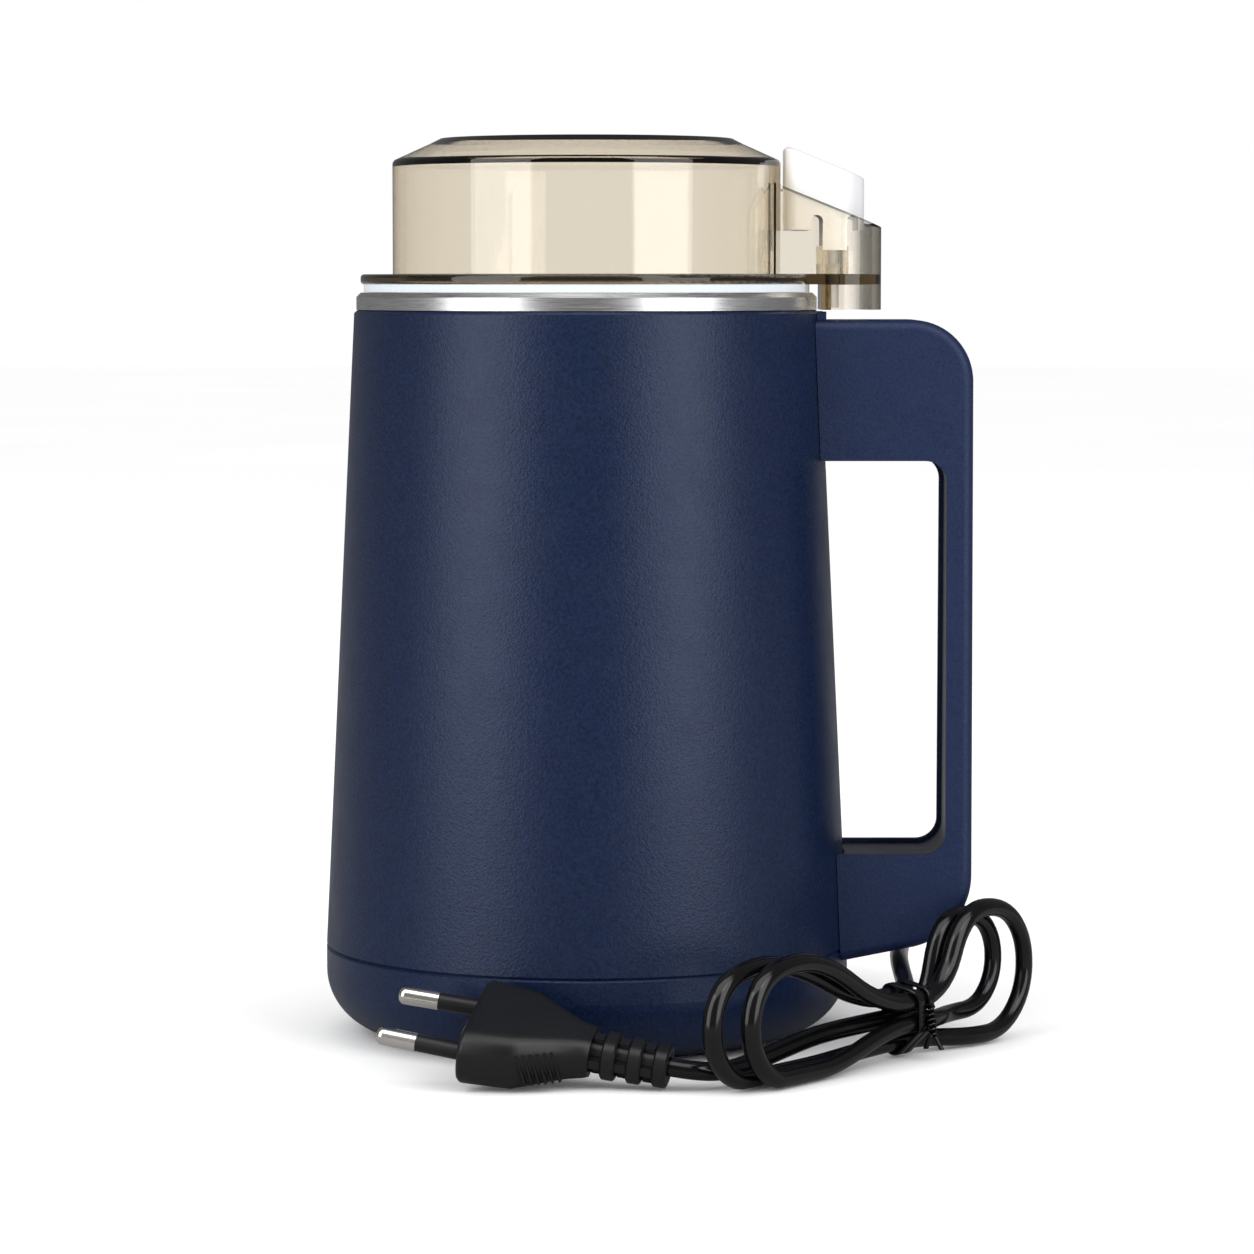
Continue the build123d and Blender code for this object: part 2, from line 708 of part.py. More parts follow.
def make_armature_core():
    core = rod(ARMATURE_R, 0, 0, STACK_Z, STACK_H)
    slot = block(
        ARMATURE_R - SLOT_DEPTH, ARMATURE_R + 1, -SLOT_WIDTH / 2, SLOT_WIDTH / 2,
        STACK_Z, STACK_TOP_Z,
    )
    for deg in around(ARMATURE_SLOTS):
        core -= Rot(0, 0, deg) * slot
    return core - rod(SHAFT_R + FIT, 0, 0, STACK_Z, STACK_H)


def make_armature_windings():
    shape = turned(
        (SHAFT_R + FIT, 0),
        (WINDING_R, 0),
        (WINDING_R, WINDING_H * 0.5),
        (WINDING_R * 0.8, WINDING_H),
        (SHAFT_R + FIT, WINDING_H),
    )
    upper = Pos(0, 0, STACK_TOP_Z) * shape
    lower = Pos(0, 0, STACK_Z) * mirror(shape, Plane.XY)
    return Compound(children=[upper, lower])


def make_commutator():
    drum = rod(COMMUTATOR_R, 0, 0, COMMUTATOR_Z, COMMUTATOR_H)
    riser_z = COMMUTATOR_Z + COMMUTATOR_H
    riser = rod(COMMUTATOR_R + RISER_STEP, 0, 0, riser_z, STACK_Z - WINDING_H - riser_z)
    return drum + riser - rod(SHAFT_R + FIT, 0, 0, COMMUTATOR_Z, STACK_Z - COMMUTATOR_Z)


def brush_span():
    """Where the brushes start, end, and their holders end, along X."""
    start = COMMUTATOR_R + SEAT
    return start, start + BRUSH_L, COMMUTATOR_R + HOLDER_START + HOLDER_L


def make_brush_holders():
    stop = brush_span()[2]
    half = BRUSH_W / 2 + HOLDER_WALL
    top = COMMUTATOR_Z + BRUSH_W + 2 * HOLDER_WALL + SEAT
    holder = block(COMMUTATOR_R + HOLDER_START, stop, -half, half, LOWER_Z + LOWER_T, top)
    holder -= brush_box(SEAT / 2, stop + 1)
    return Compound(children=[holder, mirror(holder, Plane.YZ)])


def brush_box(grow, end):
    """A brush along +X, grown on its sides."""
    start = brush_span()[0]
    half = BRUSH_W / 2 + grow
    z0 = COMMUTATOR_Z + HOLDER_WALL - grow
    return block(start, end, -half, half, z0, z0 + BRUSH_W + 2 * grow)


def make_carbon_brushes():
    brush = brush_box(0, brush_span()[1])
    return Compound(children=[brush, mirror(brush, Plane.YZ)])


def make_brush_springs():
    end = brush_span()[1]
    stop = brush_span()[2]
    z0 = COMMUTATOR_Z + HOLDER_WALL
    z1 = z0 + BRUSH_W
    third = BRUSH_W / 3
    leaf = block(end, end + SPRING_LEAF_T, -third, third, z0, z1)
    arm = block(end, stop, -third, third, z0, z0 + SPRING_LEAF_T)
    clip = block(stop - SPRING_LEAF_T, stop, -third, third, z0, z1)
    spring = leaf + arm + clip
    return Compound(children=[spring, mirror(spring, Plane.YZ)])


def make_cooling_fan():
    disc_z = FAN_Z + FAN_H - FAN_DISC_T
    fan = rod(FAN_R, 0, 0, disc_z, FAN_DISC_T)
    fan += rod(FAN_HUB_R, 0, 0, FAN_Z, FAN_H)
    vane = block(
        FAN_HUB_R - 1, FAN_R, -FAN_BLADE_T / 2, FAN_BLADE_T / 2, FAN_Z + 1, disc_z + FAN_DISC_T / 2
    )
    for deg in around(FAN_BLADES):
        fan += Rot(0, 0, deg) * vane
    return fan - rod(SHAFT_R + FIT, 0, 0, FAN_Z, FAN_H)


# Lid and button

def make_lid_shell():
    inner = LID_R - LID_WALL
    spigot_z = FLANGE_Z - SPIGOT_DEPTH
    roof = LID_TOP_Z - LID_TOP_T
    top_round = LID_TOP_Z - LID_CROWN_Z
    lid = turned(
        (inner, spigot_z),
        (LID_R, spigot_z),
        (LID_R, FLANGE_Z),
        (FLANGE_R, FLANGE_Z),
        (FLANGE_R, FLANGE_TOP_Z),
        (LID_R, FLANGE_TOP_Z),
        (LID_R, LID_SHOULDER_Z),
        (LID_CROWN_R, LID_CROWN_Z),
        (LID_CROWN_R - 2 * top_round, LID_TOP_Z),
        (0, LID_TOP_Z),
        (0, roof),
        (LID_CROWN_R - 2 * top_round, roof),
        (inner, LID_SHOULDER_Z - LID_TOP_T / 2),
    )
    rims = lid.edges().filter_by(GeomType.CIRCLE)
    lid = fillet(rims.group_by(SortBy.RADIUS)[-1], FLANGE_EDGE)
    rims = lid.edges().filter_by(GeomType.CIRCLE)
    shoulder = rims.filter_by_position(Axis.Z, LID_SHOULDER_Z, LID_SHOULDER_Z)
    lid = fillet(shoulder, SHOULDER_EDGE)
    outside = tab_block(0) - rod(LID_R - LID_WALL / 2, 0, 0, 0, LID_TOP_Z)
    skirt_z = FLANGE_Z - TAB_SKIRT
    under = block(0, skirt_x(), -TAB_HALF, TAB_HALF, skirt_z - 1, FLANGE_Z)
    pocket = tab_block(TAB_WALL) - rod(LID_R, 0, 0, 0, LID_TOP_Z)
    pocket &= block(0, TAB_X, -TAB_HALF, TAB_HALF, FLANGE_TOP_Z, LID_TOP_Z)
    well = tab_block(TAB_WALL)
    well &= block(skirt_x() + TAB_WALL, TAB_X, -TAB_HALF, TAB_HALF, skirt_z - 1, FLANGE_Z)
    lid += outside - under
    lid -= pocket
    lid -= well
    lid += rod(SLEEVE_R, STEM_X, 0, FLANGE_TOP_Z, SLEEVE_TOP_Z - FLANGE_TOP_Z)
    lid -= rod(STEM_R + GAP, STEM_X, 0, skirt_z - 1, SLEEVE_TOP_Z - skirt_z + 1)
    slot_z = FLANGE_TOP_Z + SLEEVE_SLOT
    lid -= block(
        STEM_X - SLEEVE_SLOT / 2, STEM_X + SLEEVE_SLOT / 2, -SLEEVE_R, SLEEVE_R, slot_z, SLEEVE_TOP_Z
    )
    return lid


def skirt_x():
    """Inner face of the tab's skirt, clear of the bowl's rim and the body."""
    return BODY_TOP_R + GAP


def tab_block(inset):
    """The tab's outer block, drawn in by a wall, with its sloping top."""
    x1 = TAB_X - inset
    half = TAB_HALF - inset
    block_tab = block(0, x1, -half, half, FLANGE_Z - TAB_SKIRT, LID_TOP_Z)
    corners = block_tab.edges().filter_by(Axis.Z).group_by(Axis.X)[-1]
    block_tab = fillet(corners, TAB_CORNER - inset)
    if inset > 0:
        return block_tab
    block_tab &= under_slope(TAB_ROOT_X, TAB_ROOT_Z)
    slope = block_tab.faces().sort_by(Axis.Z)[-1]
    return fillet(slope.edges().sort_by(Axis.X)[1:], TAB_EDGE)


def under_slope(x, z):
    """Everything under a plane that falls towards +X through a point in XZ."""
    reach = 120.0
    drop = math.tan(math.radians(TAB_SLOPE_DEG)) * reach
    rise = math.tan(math.radians(TAB_SLOPE_DEG)) * x
    outline = Polyline(
        (0, 0, 0), (0, 0, z + rise), (reach, 0, z + rise - drop), (reach, 0, 0), close=True
    )
    return extrude(make_face(outline), amount=reach, both=True, dir=(0, 1, 0))


def button_block(inset, z0):
    """The button's outer form, drawn in by a wall, from z0 up."""
    x0 = BUTTON_LEFT_X + inset
    x1 = BUTTON_RIGHT_X - inset
    half = TAB_HALF - TAB_WALL - GAP - inset
    solid = block(x0, x1, -half, half, z0, LID_TOP_Z)
    corners = solid.edges().filter_by(Axis.Z).group_by(Axis.X)
    solid = fillet(corners[-1], BUTTON_END_CORNER - inset)
    corners = solid.edges().filter_by(Axis.Z).group_by(Axis.X)
    solid = fillet(corners[0], BUTTON_CORNER - inset)
    return solid & under_slope(BUTTON_LEFT_X, BUTTON_TOP_Z - inset)


def tongue_block(half, z0, z1):
    """Block across the button, about the stem."""
    return block(STEM_X - half, STEM_X + half, -TAB_HALF, TAB_HALF, z0, z1)


def notches():
    """Round-topped slots in the button's skirt, at both sides of its tongues."""
    cut = None
    for side in (1, -1):
        x = STEM_X + side * (TONGUE_HALF + NOTCH_WIDTH / 2)
        radius = NOTCH_WIDTH / 2
        top = NOTCH_TOP_Z - radius
        slot = block(x - radius, x + radius, -TAB_HALF, TAB_HALF, TONGUE_Z - 1, top)
        slot += Pos(x, 0, top) * Rot(90, 0, 0) * Cylinder(radius, 2 * TAB_HALF)
        cut = slot if cut is None else cut + slot
    return cut


def make_lid_button():
    outer = button_block(0, BUTTON_SKIRT_Z)
    outer = fillet(outer.faces().sort_by(Axis.Z)[-1].edges(), BUTTON_EDGE)
    outer += button_block(0, TONGUE_Z) & tongue_block(TONGUE_HALF, TONGUE_Z, NOTCH_TOP_Z)
    outer -= notches()
    cap = outer - button_block(BUTTON_WALL, TONGUE_Z - 1)
    inner_space = button_block(BUTTON_WALL / 2, SPRING_TOP_Z)
    half = TAB_HALF
    along = block(0, TAB_X, -RIB_T / 2, RIB_T / 2, SPRING_TOP_Z, LID_TOP_Z)
    across = block(STEM_X - RIB_T / 2, STEM_X + RIB_T / 2, -half, half, SPRING_TOP_Z, LID_TOP_Z)
    collar = rod(SPRING_R + RIB_T / 2, STEM_X, 0, SPRING_TOP_Z, RIB_T)
    cap += (along + across + collar) & inner_space
    stem = rod(STEM_R, STEM_X, 0, STEM_BOTTOM_Z, LID_TOP_Z - STEM_BOTTOM_Z)
    stem &= under_slope(BUTTON_LEFT_X, BUTTON_TOP_Z - BUTTON_WALL / 2)
    return cap + stem


def make_lid_seal():
    return ring(SEAL_R, LID_R + SEAT, RIM_TOP_Z + SEAT, FLANGE_Z - RIM_TOP_Z - SEAT)


def make_button_spring():
    """Coil round the stem, from the guide sleeve's end to the button's collar."""
    low = SLEEVE_TOP_Z + SPRING_WIRE_R + SEAT
    high = SPRING_TOP_Z - SPRING_WIRE_R - SEAT
    steps = SPRING_TURNS * 2
    pitch = (high - low) / SPRING_TURNS
    knots = []
    for i in range(steps + 1):
        angle = math.pi * i
        place = Vector(
            STEM_X + SPRING_R * math.cos(angle), SPRING_R * math.sin(angle), low + pitch * i / 2
        )
        lead = pitch / (2 * math.pi * SPRING_R)
        heading = Vector(-math.sin(angle), math.cos(angle), lead).normalized()
        knots.append((place, heading))
    return tube(biarc_path(knots), SPRING_WIRE_R)


# Handle and switch

def handle_half(z, inset=0.0):
    """Half width of the handle at a height."""
    share = (HANDLE_TOP_Z - z) / (HANDLE_TOP_Z - HANDLE_FOOT_Z)
    return HANDLE_TOP_HALF + share * (HANDLE_BOTTOM_HALF - HANDLE_TOP_HALF) - inset


def handle_prism(inset):
    """Space between the handle's leaning side faces, drawn in by a wall."""
    low = HANDLE_FOOT_Z - 20
    high = HANDLE_TOP_Z + 20
    outline = Polyline(
        (0, -handle_half(low, inset), low),
        (0, handle_half(low, inset), low),
        (0, handle_half(high, inset), high),
        (0, -handle_half(high, inset), high),
        close=True,
    )
    return extrude(make_face(outline), amount=HANDLE_X + 20, dir=(1, 0, 0))


def handle_profile(inset):
    """Solid of the handle's side outline, without the finger gap, drawn in by a wall."""
    foot_rise = math.tan(math.radians(HANDLE_FOOT_SLOPE_DEG)) * (HANDLE_X - BODY_SEAM_R)
    root_x = BODY_TOP_R / 2
    root_drop = math.tan(math.radians(HANDLE_FOOT_SLOPE_DEG)) * (BODY_SEAM_R - root_x)
    top = HANDLE_TOP_Z - inset
    right = HANDLE_X - inset
    foot = HANDLE_FOOT_Z + inset
    outline = make_face(
        Polyline(
            (root_x, top), (right, top), (right, foot + foot_rise), (root_x, foot - root_drop),
            close=True,
        )
    )
    corners = outline.vertices().group_by(Axis.X)[-1].sort_by(Axis.Y)
    outline = fillet(corners[0], HANDLE_FOOT_CORNER - inset)
    corners = outline.vertices().filter_by(lambda v: abs(v.Y - top) < 1e-6).sort_by(Axis.X)
    outline = fillet(corners[-1], HANDLE_TOP_CORNER - inset)
    return extrude(Plane.XZ * outline, amount=HANDLE_SPAN, both=True)


def finger_gap(grow):
    """Solid of the finger gap, from inside the body to the grip, grown outwards."""
    x0 = BODY_TOP_R / 2
    x1 = GRIP_IN_X + grow
    z0 = GRIP_FOOT_Z - grow
    z1 = GRIP_TOP_Z + grow
    gap = block(x0, x1, -HANDLE_SPAN, HANDLE_SPAN, z0, z1)
    corners = gap.edges().filter_by(Axis.Y).group_by(Axis.X)[-1]
    return fillet(corners, GRIP_CORNER + grow)


def make_handle_shell():
    solid = handle_profile(0) & handle_prism(0)
    long_edges = solid.edges().filter_by(lambda e: abs(e.center().Y) > HANDLE_TOP_HALF / 2)
    long_edges = long_edges.filter_by(lambda e: e.center().X > BODY_TOP_R / 2 + 1)
    solid = fillet(long_edges, HANDLE_EDGE)
    solid -= finger_gap(0)
    channel = handle_profile(HANDLE_WALL) & handle_prism(HANDLE_WALL)
    solid -= channel
    shelf_z = SWITCH_Z - SHELF_T
    shelf = block(0, GRIP_IN_X, -HANDLE_SPAN, HANDLE_SPAN, shelf_z, SWITCH_Z) & handle_prism(HANDLE_WALL / 2)
    rib_x = switch_x() + SWITCH_L + SEAT
    stop = block(rib_x, rib_x + SHELF_T, -HANDLE_SPAN, HANDLE_SPAN, SWITCH_Z, SWITCH_Z + SWITCH_H / 2)
    solid += shelf
    solid += stop & handle_prism(HANDLE_WALL / 2)
    for side, z in handle_screw_places():
        start = math.sqrt(body_radius(z) ** 2 - side**2) - BOSS_R
        boss = bar_x(BOSS_R, start, side, z, BOSS_L + BOSS_R)
        solid += boss & handle_prism(HANDLE_WALL / 2)
        solid -= bar_x(PILOT_R, start, side, z, BOSS_L)
    lug_x = BODY_TOP_R - LUG_T / 2
    lug_half = HANDLE_TOP_HALF - HANDLE_EDGE
    lugs = block(lug_x, lug_x + LUG_T, -lug_half, lug_half, HANDLE_TOP_Z - 1, HANDLE_TOP_Z + LUG_H)
    lugs -= block(0, TAB_X, -lug_half + LUG_T, lug_half - LUG_T, 0, BODY_TOP_Z)
    solid += lugs
    solid -= rod(PLUNGER_R + GAP, STEM_X, 0, HANDLE_TOP_Z - 2 * HANDLE_WALL, 3 * HANDLE_WALL)
    return solid - body_cone(SEAT)


def make_handle_inner_cover():
    band = finger_gap(COVER_RECESS + COVER_T) - finger_gap(COVER_RECESS)
    band &= handle_prism(HANDLE_WALL + SEAT)
    return band - body_cone(GAP)


def make_handle_screws():
    screws = []
    for side, z in handle_screw_places():
        seat = head_seat_x(side, z)
        start = math.sqrt(body_radius(z) ** 2 - side**2) - BOSS_R
        head = bar_x(SCREW_HEAD_R, seat - SCREW_HEAD_H, side, z, SCREW_HEAD_H)
        screws.append(head + bar_x(PILOT_R - FIT, seat, side, z, start + BOSS_L - 1 - seat))
    return Compound(children=screws)


def switch_x():
    """End of the switch next to the body."""
    return body_radius(SWITCH_Z) + 2 * SEAT


def make_microswitch():
    x0 = switch_x()
    half = SWITCH_W / 2
    case = block(x0, x0 + SWITCH_L, -half, half, SWITCH_Z, SWITCH_Z + SWITCH_H)
    case = chamfer(case.edges().filter_by(Axis.Y), SWITCH_EDGE)
    for share in (0.25, 0.75):
        hole = Rot(90, 0, 0) * Cylinder(SWITCH_HOLE_R, SWITCH_W)
        case -= Pos(x0 + SWITCH_L * share, 0, SWITCH_Z + SWITCH_HOLE_H) * hole
    bore_z = plunger_foot_z() - PLUNGER_TRAVEL - GAP
    return case - rod(PLUNGER_PIN_R + RUN, STEM_X, 0, bore_z, SWITCH_H)


def plunger_foot_z():
    """Lower end of the switch plunger's pin at rest."""
    return SWITCH_Z + SWITCH_H - PLUNGER_REACH


def make_switch_plunger():
    top = HANDLE_TOP_Z - PLUNGER_TOP_DROP
    head_z = SWITCH_Z + SWITCH_H + PLUNGER_TRAVEL + GAP
    head = rod(PLUNGER_R, STEM_X, 0, head_z, top - head_z)
    head = chamfer(head.edges().sort_by(Axis.Z)[-1], EDGE_CUT)
    return head + rod(PLUNGER_PIN_R, STEM_X, 0, plunger_foot_z(), head_z - plunger_foot_z())


# Cord

def biarc(start, start_dir, end, end_dir):
    """Two tangent arcs, or one line, between two points with set directions."""
    chord = end - start
    straight = chord.normalized()
    if (straight - start_dir).length < 1e-6 and (straight - end_dir).length < 1e-6:
        return [Line(start, end)]
    spread = 2 * (1 - start_dir.dot(end_dir))
    along = chord.dot(start_dir + end_dir)
    if spread < 1e-9:
        arm = chord.dot(chord) / (2 * along)
    else:
        arm = (math.sqrt(along**2 + spread * chord.dot(chord)) - along) / spread
    middle = (start + end + (start_dir - end_dir) * arm) * 0.5
    middle_dir = ((end - end_dir * arm) - (start + start_dir * arm)).normalized()
    first = TangentArc(start, middle, tangent=start_dir)
    second = TangentArc(middle, end, tangent=middle_dir)
    return [first, second]


def biarc_path(knots):
    """Wire through points with directions."""
    edges = []
    for (start, start_dir), (end, end_dir) in zip(knots, knots[1:]):
        edges += biarc(start, start_dir, end, end_dir)
    return Wire(edges)


def tube(path, radius):
    """Round tube along a wire."""
    section = Plane(origin=path @ 0, z_dir=path % 0) * Circle(radius)
    return sweep(section, path=path)


def hank_vector(u, w, v):
    """Direction in the hank's own frame: along it, across it towards the front, and up."""
    heading = math.radians(HANK_HEADING_DEG)
    x = u * math.cos(heading) + w * math.sin(heading)
    y = u * math.sin(heading) - w * math.cos(heading)
    return Vector(x, y, v)


def hank_point(u, w, v):
    """Point in the hank's own frame, from its waist on the floor."""
    return Vector(HANK_X, HANK_Y, 0) + hank_vector(u, w, v)


def hank_strand(index):
    """Side step and height of one strand at the waist."""
    return HANK_COLUMN[index] * HANK_SIDE, HANK_HEIGHT[index]


def hank_knots():
    """Points and directions of the whole hank, strand by strand and fold by fold."""
    knots = []
    for index in range(len(HANK_HEIGHT)):
        way = -1 if index % 2 == 0 else 1
        side, height = hank_strand(index)
        forward = hank_vector(way, 0, 0)
        knots.append((hank_point(0, side, height), forward))
        if index < len(HANK_REACH):
            knots += hank_fold(index, way, forward)
    return knots


def hank_fold(index, way, forward):
    """Half turn at one end of the hank: left folds run down, right folds run up."""
    radius = HANK_RISE[index] / 2
    side = HANK_FOLD_COLUMN[index] * HANK_SIDE
    low = HANK_LOW[index]
    high = low + HANK_RISE[index]
    first, second = (high, low) if way < 0 else (low, high)
    u = way * (HANK_REACH[index] - radius)
    end = way * HANK_REACH[index]
    upward = Vector(0, 0, 1 if second > first else -1)
    knots = [
        (hank_point(u, side, first), forward),
        (hank_point(end, side, low + radius), upward),
        (hank_point(u, side, second), forward * -1),
    ]
    if way < 0:
        knots.append((hank_point(way * HANK_CLIMB, side, second), forward * -1))
    return knots


def make_cord_hank():
    path = biarc_path(hank_knots())
    report_hank_gap(path)
    return tube(path, CORD_R)


def report_hank_gap(path):
    """Print the hank's length and the least gap between its strands, measured on points."""
    count = 600
    spacing = path.length / count
    points = [path @ (i / count) for i in range(count + 1)]
    skip = int(3 * CORD_D / spacing)
    least = min(
        (points[i] - points[j]).length
        for i in range(count + 1)
        for j in range(i + skip, count + 1)
    )
    print(f"hank length {path.length:.1f} mm, least gap {least - CORD_D:.2f} mm")


def cord_radii(points):
    """Largest even radius at each corner of a route."""
    radii = []
    for before, here, after in zip(points, points[1:], points[2:]):
        run_in = here - before
        run_out = after - here
        turn = math.radians(run_in.get_angle(run_out))
        radii.append(0.45 * min(run_in.length, run_out.length) / math.tan(turn / 2))
    return radii


def cord_tube(name, route):
    """Cord along straight runs and tangent arcs."""
    radii = cord_radii(route)
    path = FilletPolyline(*route, radius=radii)
    solid = tube(path, CORD_R)
    expected = math.pi * CORD_R**2 * path.length
    print(f"{name} length {path.length:.1f} mm, volume ratio {solid.volume / expected:.4f}")
    print(f"{name} radii", [round(r, 1) for r in radii])
    return solid


def gland_plane():
    """Plane on the body's wall where the cord leaves, facing outwards."""
    x, y = polar(body_radius(GLAND_Z), GLAND_DEG)
    outward = Vector(*polar(1, GLAND_DEG))
    return Plane(origin=(x, y, GLAND_Z), x_dir=(0, 0, 1), z_dir=outward)


def gland_tip():
    """Point where the cord leaves the gland."""
    return gland_plane().from_local_coords(Vector(0, 0, GLAND_LENGTH))


def make_cord_gland():
    inner = -BODY_WALL - GLAND_INSIDE
    neck_r = GLAND_HOLE_R - SEAT
    flange_top = GLAND_STANDOFF + GLAND_FLANGE_T
    points = [
        (0, inner - GLAND_FLANGE_T),
        (GLAND_FLANGE_R, inner - GLAND_FLANGE_T),
        (GLAND_FLANGE_R, inner),
        (neck_r, inner),
        (neck_r, GLAND_STANDOFF),
        (GLAND_FLANGE_R, GLAND_STANDOFF),
        (GLAND_FLANGE_R - GLAND_TAPER, flange_top),
    ]
    pitch = (GLAND_LENGTH - flange_top) / GLAND_RIBS
    for i in range(GLAND_RIBS):
        share = i / GLAND_RIBS
        rib_r = neck_r + GLAND_RIB_STEP + share * (GLAND_TIP_R - neck_r)
        root_r = GLAND_TIP_R - GLAND_RIB_STEP
        z = flange_top + pitch * i
        rib_z = z + pitch / 3
        points += [(root_r, z), (root_r, rib_z), (rib_r, rib_z), (rib_r - SEAT, z + pitch)]
    points.append((0, GLAND_LENGTH))
    return gland_plane() * turned(*points)


def make_cord_lead():
    side, height = hank_strand(0)
    joint = hank_point(0, side, height)
    arrival = hank_point(LEAD_ARRIVAL, side, height)
    straight = gland_plane().from_local_coords(Vector(0, 0, GLAND_LENGTH + LEAD_EXIT))
    route = [gland_tip(), straight] + [Vector(*p) for p in LEAD_ROUTE] + [arrival, joint]
    return cord_tube("cord_lead", route)


def make_cord_tail():
    side, height = hank_strand(len(HANK_REACH))
    joint = hank_point(0, side, height)
    tip = plug_plane().from_local_coords(Vector(0, 0, -PLUG_LENGTH))
    before = plug_plane().from_local_coords(Vector(0, 0, -PLUG_LENGTH - PLUG_EXIT))
    straight = hank_point(-TAIL_EXIT, side, height)
    route = [joint, straight] + [Vector(*p) for p in TAIL_ROUTE] + [before, tip]
    return cord_tube("cord_tail", route)


def make_twist_tie():
    clear = CORD_R + GAP
    half = HANK_SIDE + clear
    low = min(HANK_HEIGHT) - clear
    high = max(HANK_HEIGHT) + clear
    heading = hank_vector(1, 0, 0)
    across = hank_vector(0, 1, 0)
    plane = Plane(origin=hank_point(0, 0, (low + high) / 2), x_dir=across, z_dir=heading)
    outer = RectangleRounded(2 * half + 2 * TIE_T, high - low + 2 * TIE_T, clear + TIE_T)
    inner = RectangleRounded(2 * half, high - low, clear)
    band = extrude(outer - inner, amount=TIE_WIDTH / 2, both=True)
    bands = Pos(0, 0, TIE_SPACING / 2) * band + Pos(0, 0, -TIE_SPACING / 2) * band
    knot = Cylinder(TIE_KNOT_R, TIE_SPACING + TIE_WIDTH)
    knot = Pos(half + TIE_T + TIE_KNOT_R - TIE_T / 2, 0, 0) * knot
    return plane * (bands + knot)


# Plug

def plug_plane():
    """Plane on the plug's front face, X along the pins' pitch, Z out along the pins."""
    axis = Vector(*PLUG_AXIS).normalized()
    level = axis.cross(Vector(0, 0, 1)).normalized() * -1
    pitch = level.rotate(Axis((0, 0, 0), axis), -PLUG_ROLL_DEG)
    return Plane(origin=PLUG_FACE, x_dir=pitch, z_dir=axis)


def make_plug_body():
    sections = []
    for z, width, thick in (
        (0, PLUG_WIDTH, PLUG_THICK),
        (-PLUG_SHOULDER, PLUG_WIDTH * PLUG_TAPER, PLUG_THICK),
        (-PLUG_NECK, PLUG_NECK_WIDTH, PLUG_NECK_THICK),
    ):
        sections.append(Plane.XY.offset(z) * RectangleRounded(width, thick, PLUG_ROUND * thick))
    body = loft(sections, ruled=True)
    body += Pos(0, 0, -PLUG_LENGTH) * Cylinder(
        PLUG_CORE_R, PLUG_LENGTH - PLUG_NECK + 1, align=(Align.CENTER, Align.CENTER, Align.MIN)
    )
    pitch = (PLUG_LENGTH - PLUG_NECK) / PLUG_RIBS
    for i in range(PLUG_RIBS):
        share = (i + 1) / PLUG_RIBS
        width = PLUG_NECK_WIDTH + share * (PLUG_TIP_WIDTH - PLUG_NECK_WIDTH)
        thick = PLUG_NECK_THICK + share * (PLUG_TIP_WIDTH - PLUG_NECK_THICK)
        z = -PLUG_NECK - pitch * (i + 1)
        plate = extrude(RectangleRounded(width, thick, PLUG_ROUND * thick), amount=pitch * PLUG_RIB_SHARE)
        body += Pos(0, 0, z) * plate
    return plug_plane() * body


def pin_places():
    """Placements of the two pins, which lean in towards their tips."""
    lean = math.degrees(math.atan((PIN_PITCH_FACE - PIN_PITCH_TIP) / 2 / PIN_LENGTH))
    return [
        Pos(PIN_PITCH_FACE / 2, 0, 0) * Rot(0, -lean, 0),
        Pos(-PIN_PITCH_FACE / 2, 0, 0) * Rot(0, lean, 0),
    ]


def make_plug_pins():
    tip = rod(PIN_R, 0, 0, PIN_SLEEVE, PIN_LENGTH - PIN_SLEEVE)
    tip = fillet(tip.edges().sort_by(Axis.Z)[-1], PIN_R * 0.7)
    pin = tip + rod(PIN_CORE_R, 0, 0, SEAT, PIN_SLEEVE)
    return Compound(children=[plug_plane() * place * pin for place in pin_places()])


def make_pin_sleeves():
    sleeve = rod(PIN_R - SEAT, 0, 0, SEAT, PIN_SLEEVE - SEAT)
    sleeve -= rod(PIN_CORE_R + FIT, 0, 0, SEAT, PIN_SLEEVE)
    return Compound(children=[plug_plane() * place * sleeve for place in pin_places()])


PIECES = {
    "body_shell": make_body_shell,
    "base_cover": make_base_cover,
    "base_screws": make_base_screws,
    "foot_ring": make_foot_ring,
    "grinding_bowl": make_grinding_bowl,
    "bowl_screws": make_bowl_screws,
    "bowl_damper": make_bowl_damper,
    "shaft_seal": make_shaft_seal,
    "blade": make_blade,
    "blade_nut": make_blade_nut,
    "motor_shaft": make_motor_shaft,
    "upper_motor_bracket": make_upper_motor_bracket,
    "lower_motor_bracket": make_lower_motor_bracket,
    "upper_bearing": lambda: make_bearing(upper_bearing_z()),
    "lower_bearing": lambda: make_bearing(lower_bearing_z()),
    "motor_bolts": make_motor_bolts,
    "deck_screws": make_deck_screws,
    "stator_core": make_stator_core,
    "field_coils": make_field_coils,
    "armature_core": make_armature_core,
    "armature_windings": make_armature_windings,
    "commutator": make_commutator,
    "brush_holders": make_brush_holders,
    "carbon_brushes": make_carbon_brushes,
    "brush_springs": make_brush_springs,
    "cooling_fan": make_cooling_fan,
    "lid_shell": make_lid_shell,
    "lid_seal": make_lid_seal,
    "lid_button": make_lid_button,
    "button_spring": make_button_spring,
    "handle_shell": make_handle_shell,
    "handle_inner_cover": make_handle_inner_cover,
    "handle_screws": make_handle_screws,
    "microswitch": make_microswitch,
    "switch_plunger": make_switch_plunger,
    "cord_gland": make_cord_gland,
    "cord_lead": make_cord_lead,
    "cord_hank": make_cord_hank,
    "cord_tail": make_cord_tail,
    "twist_tie": make_twist_tie,
    "plug_body": make_plug_body,
    "pin_sleeves": make_pin_sleeves,
    "plug_pins": make_plug_pins,
}

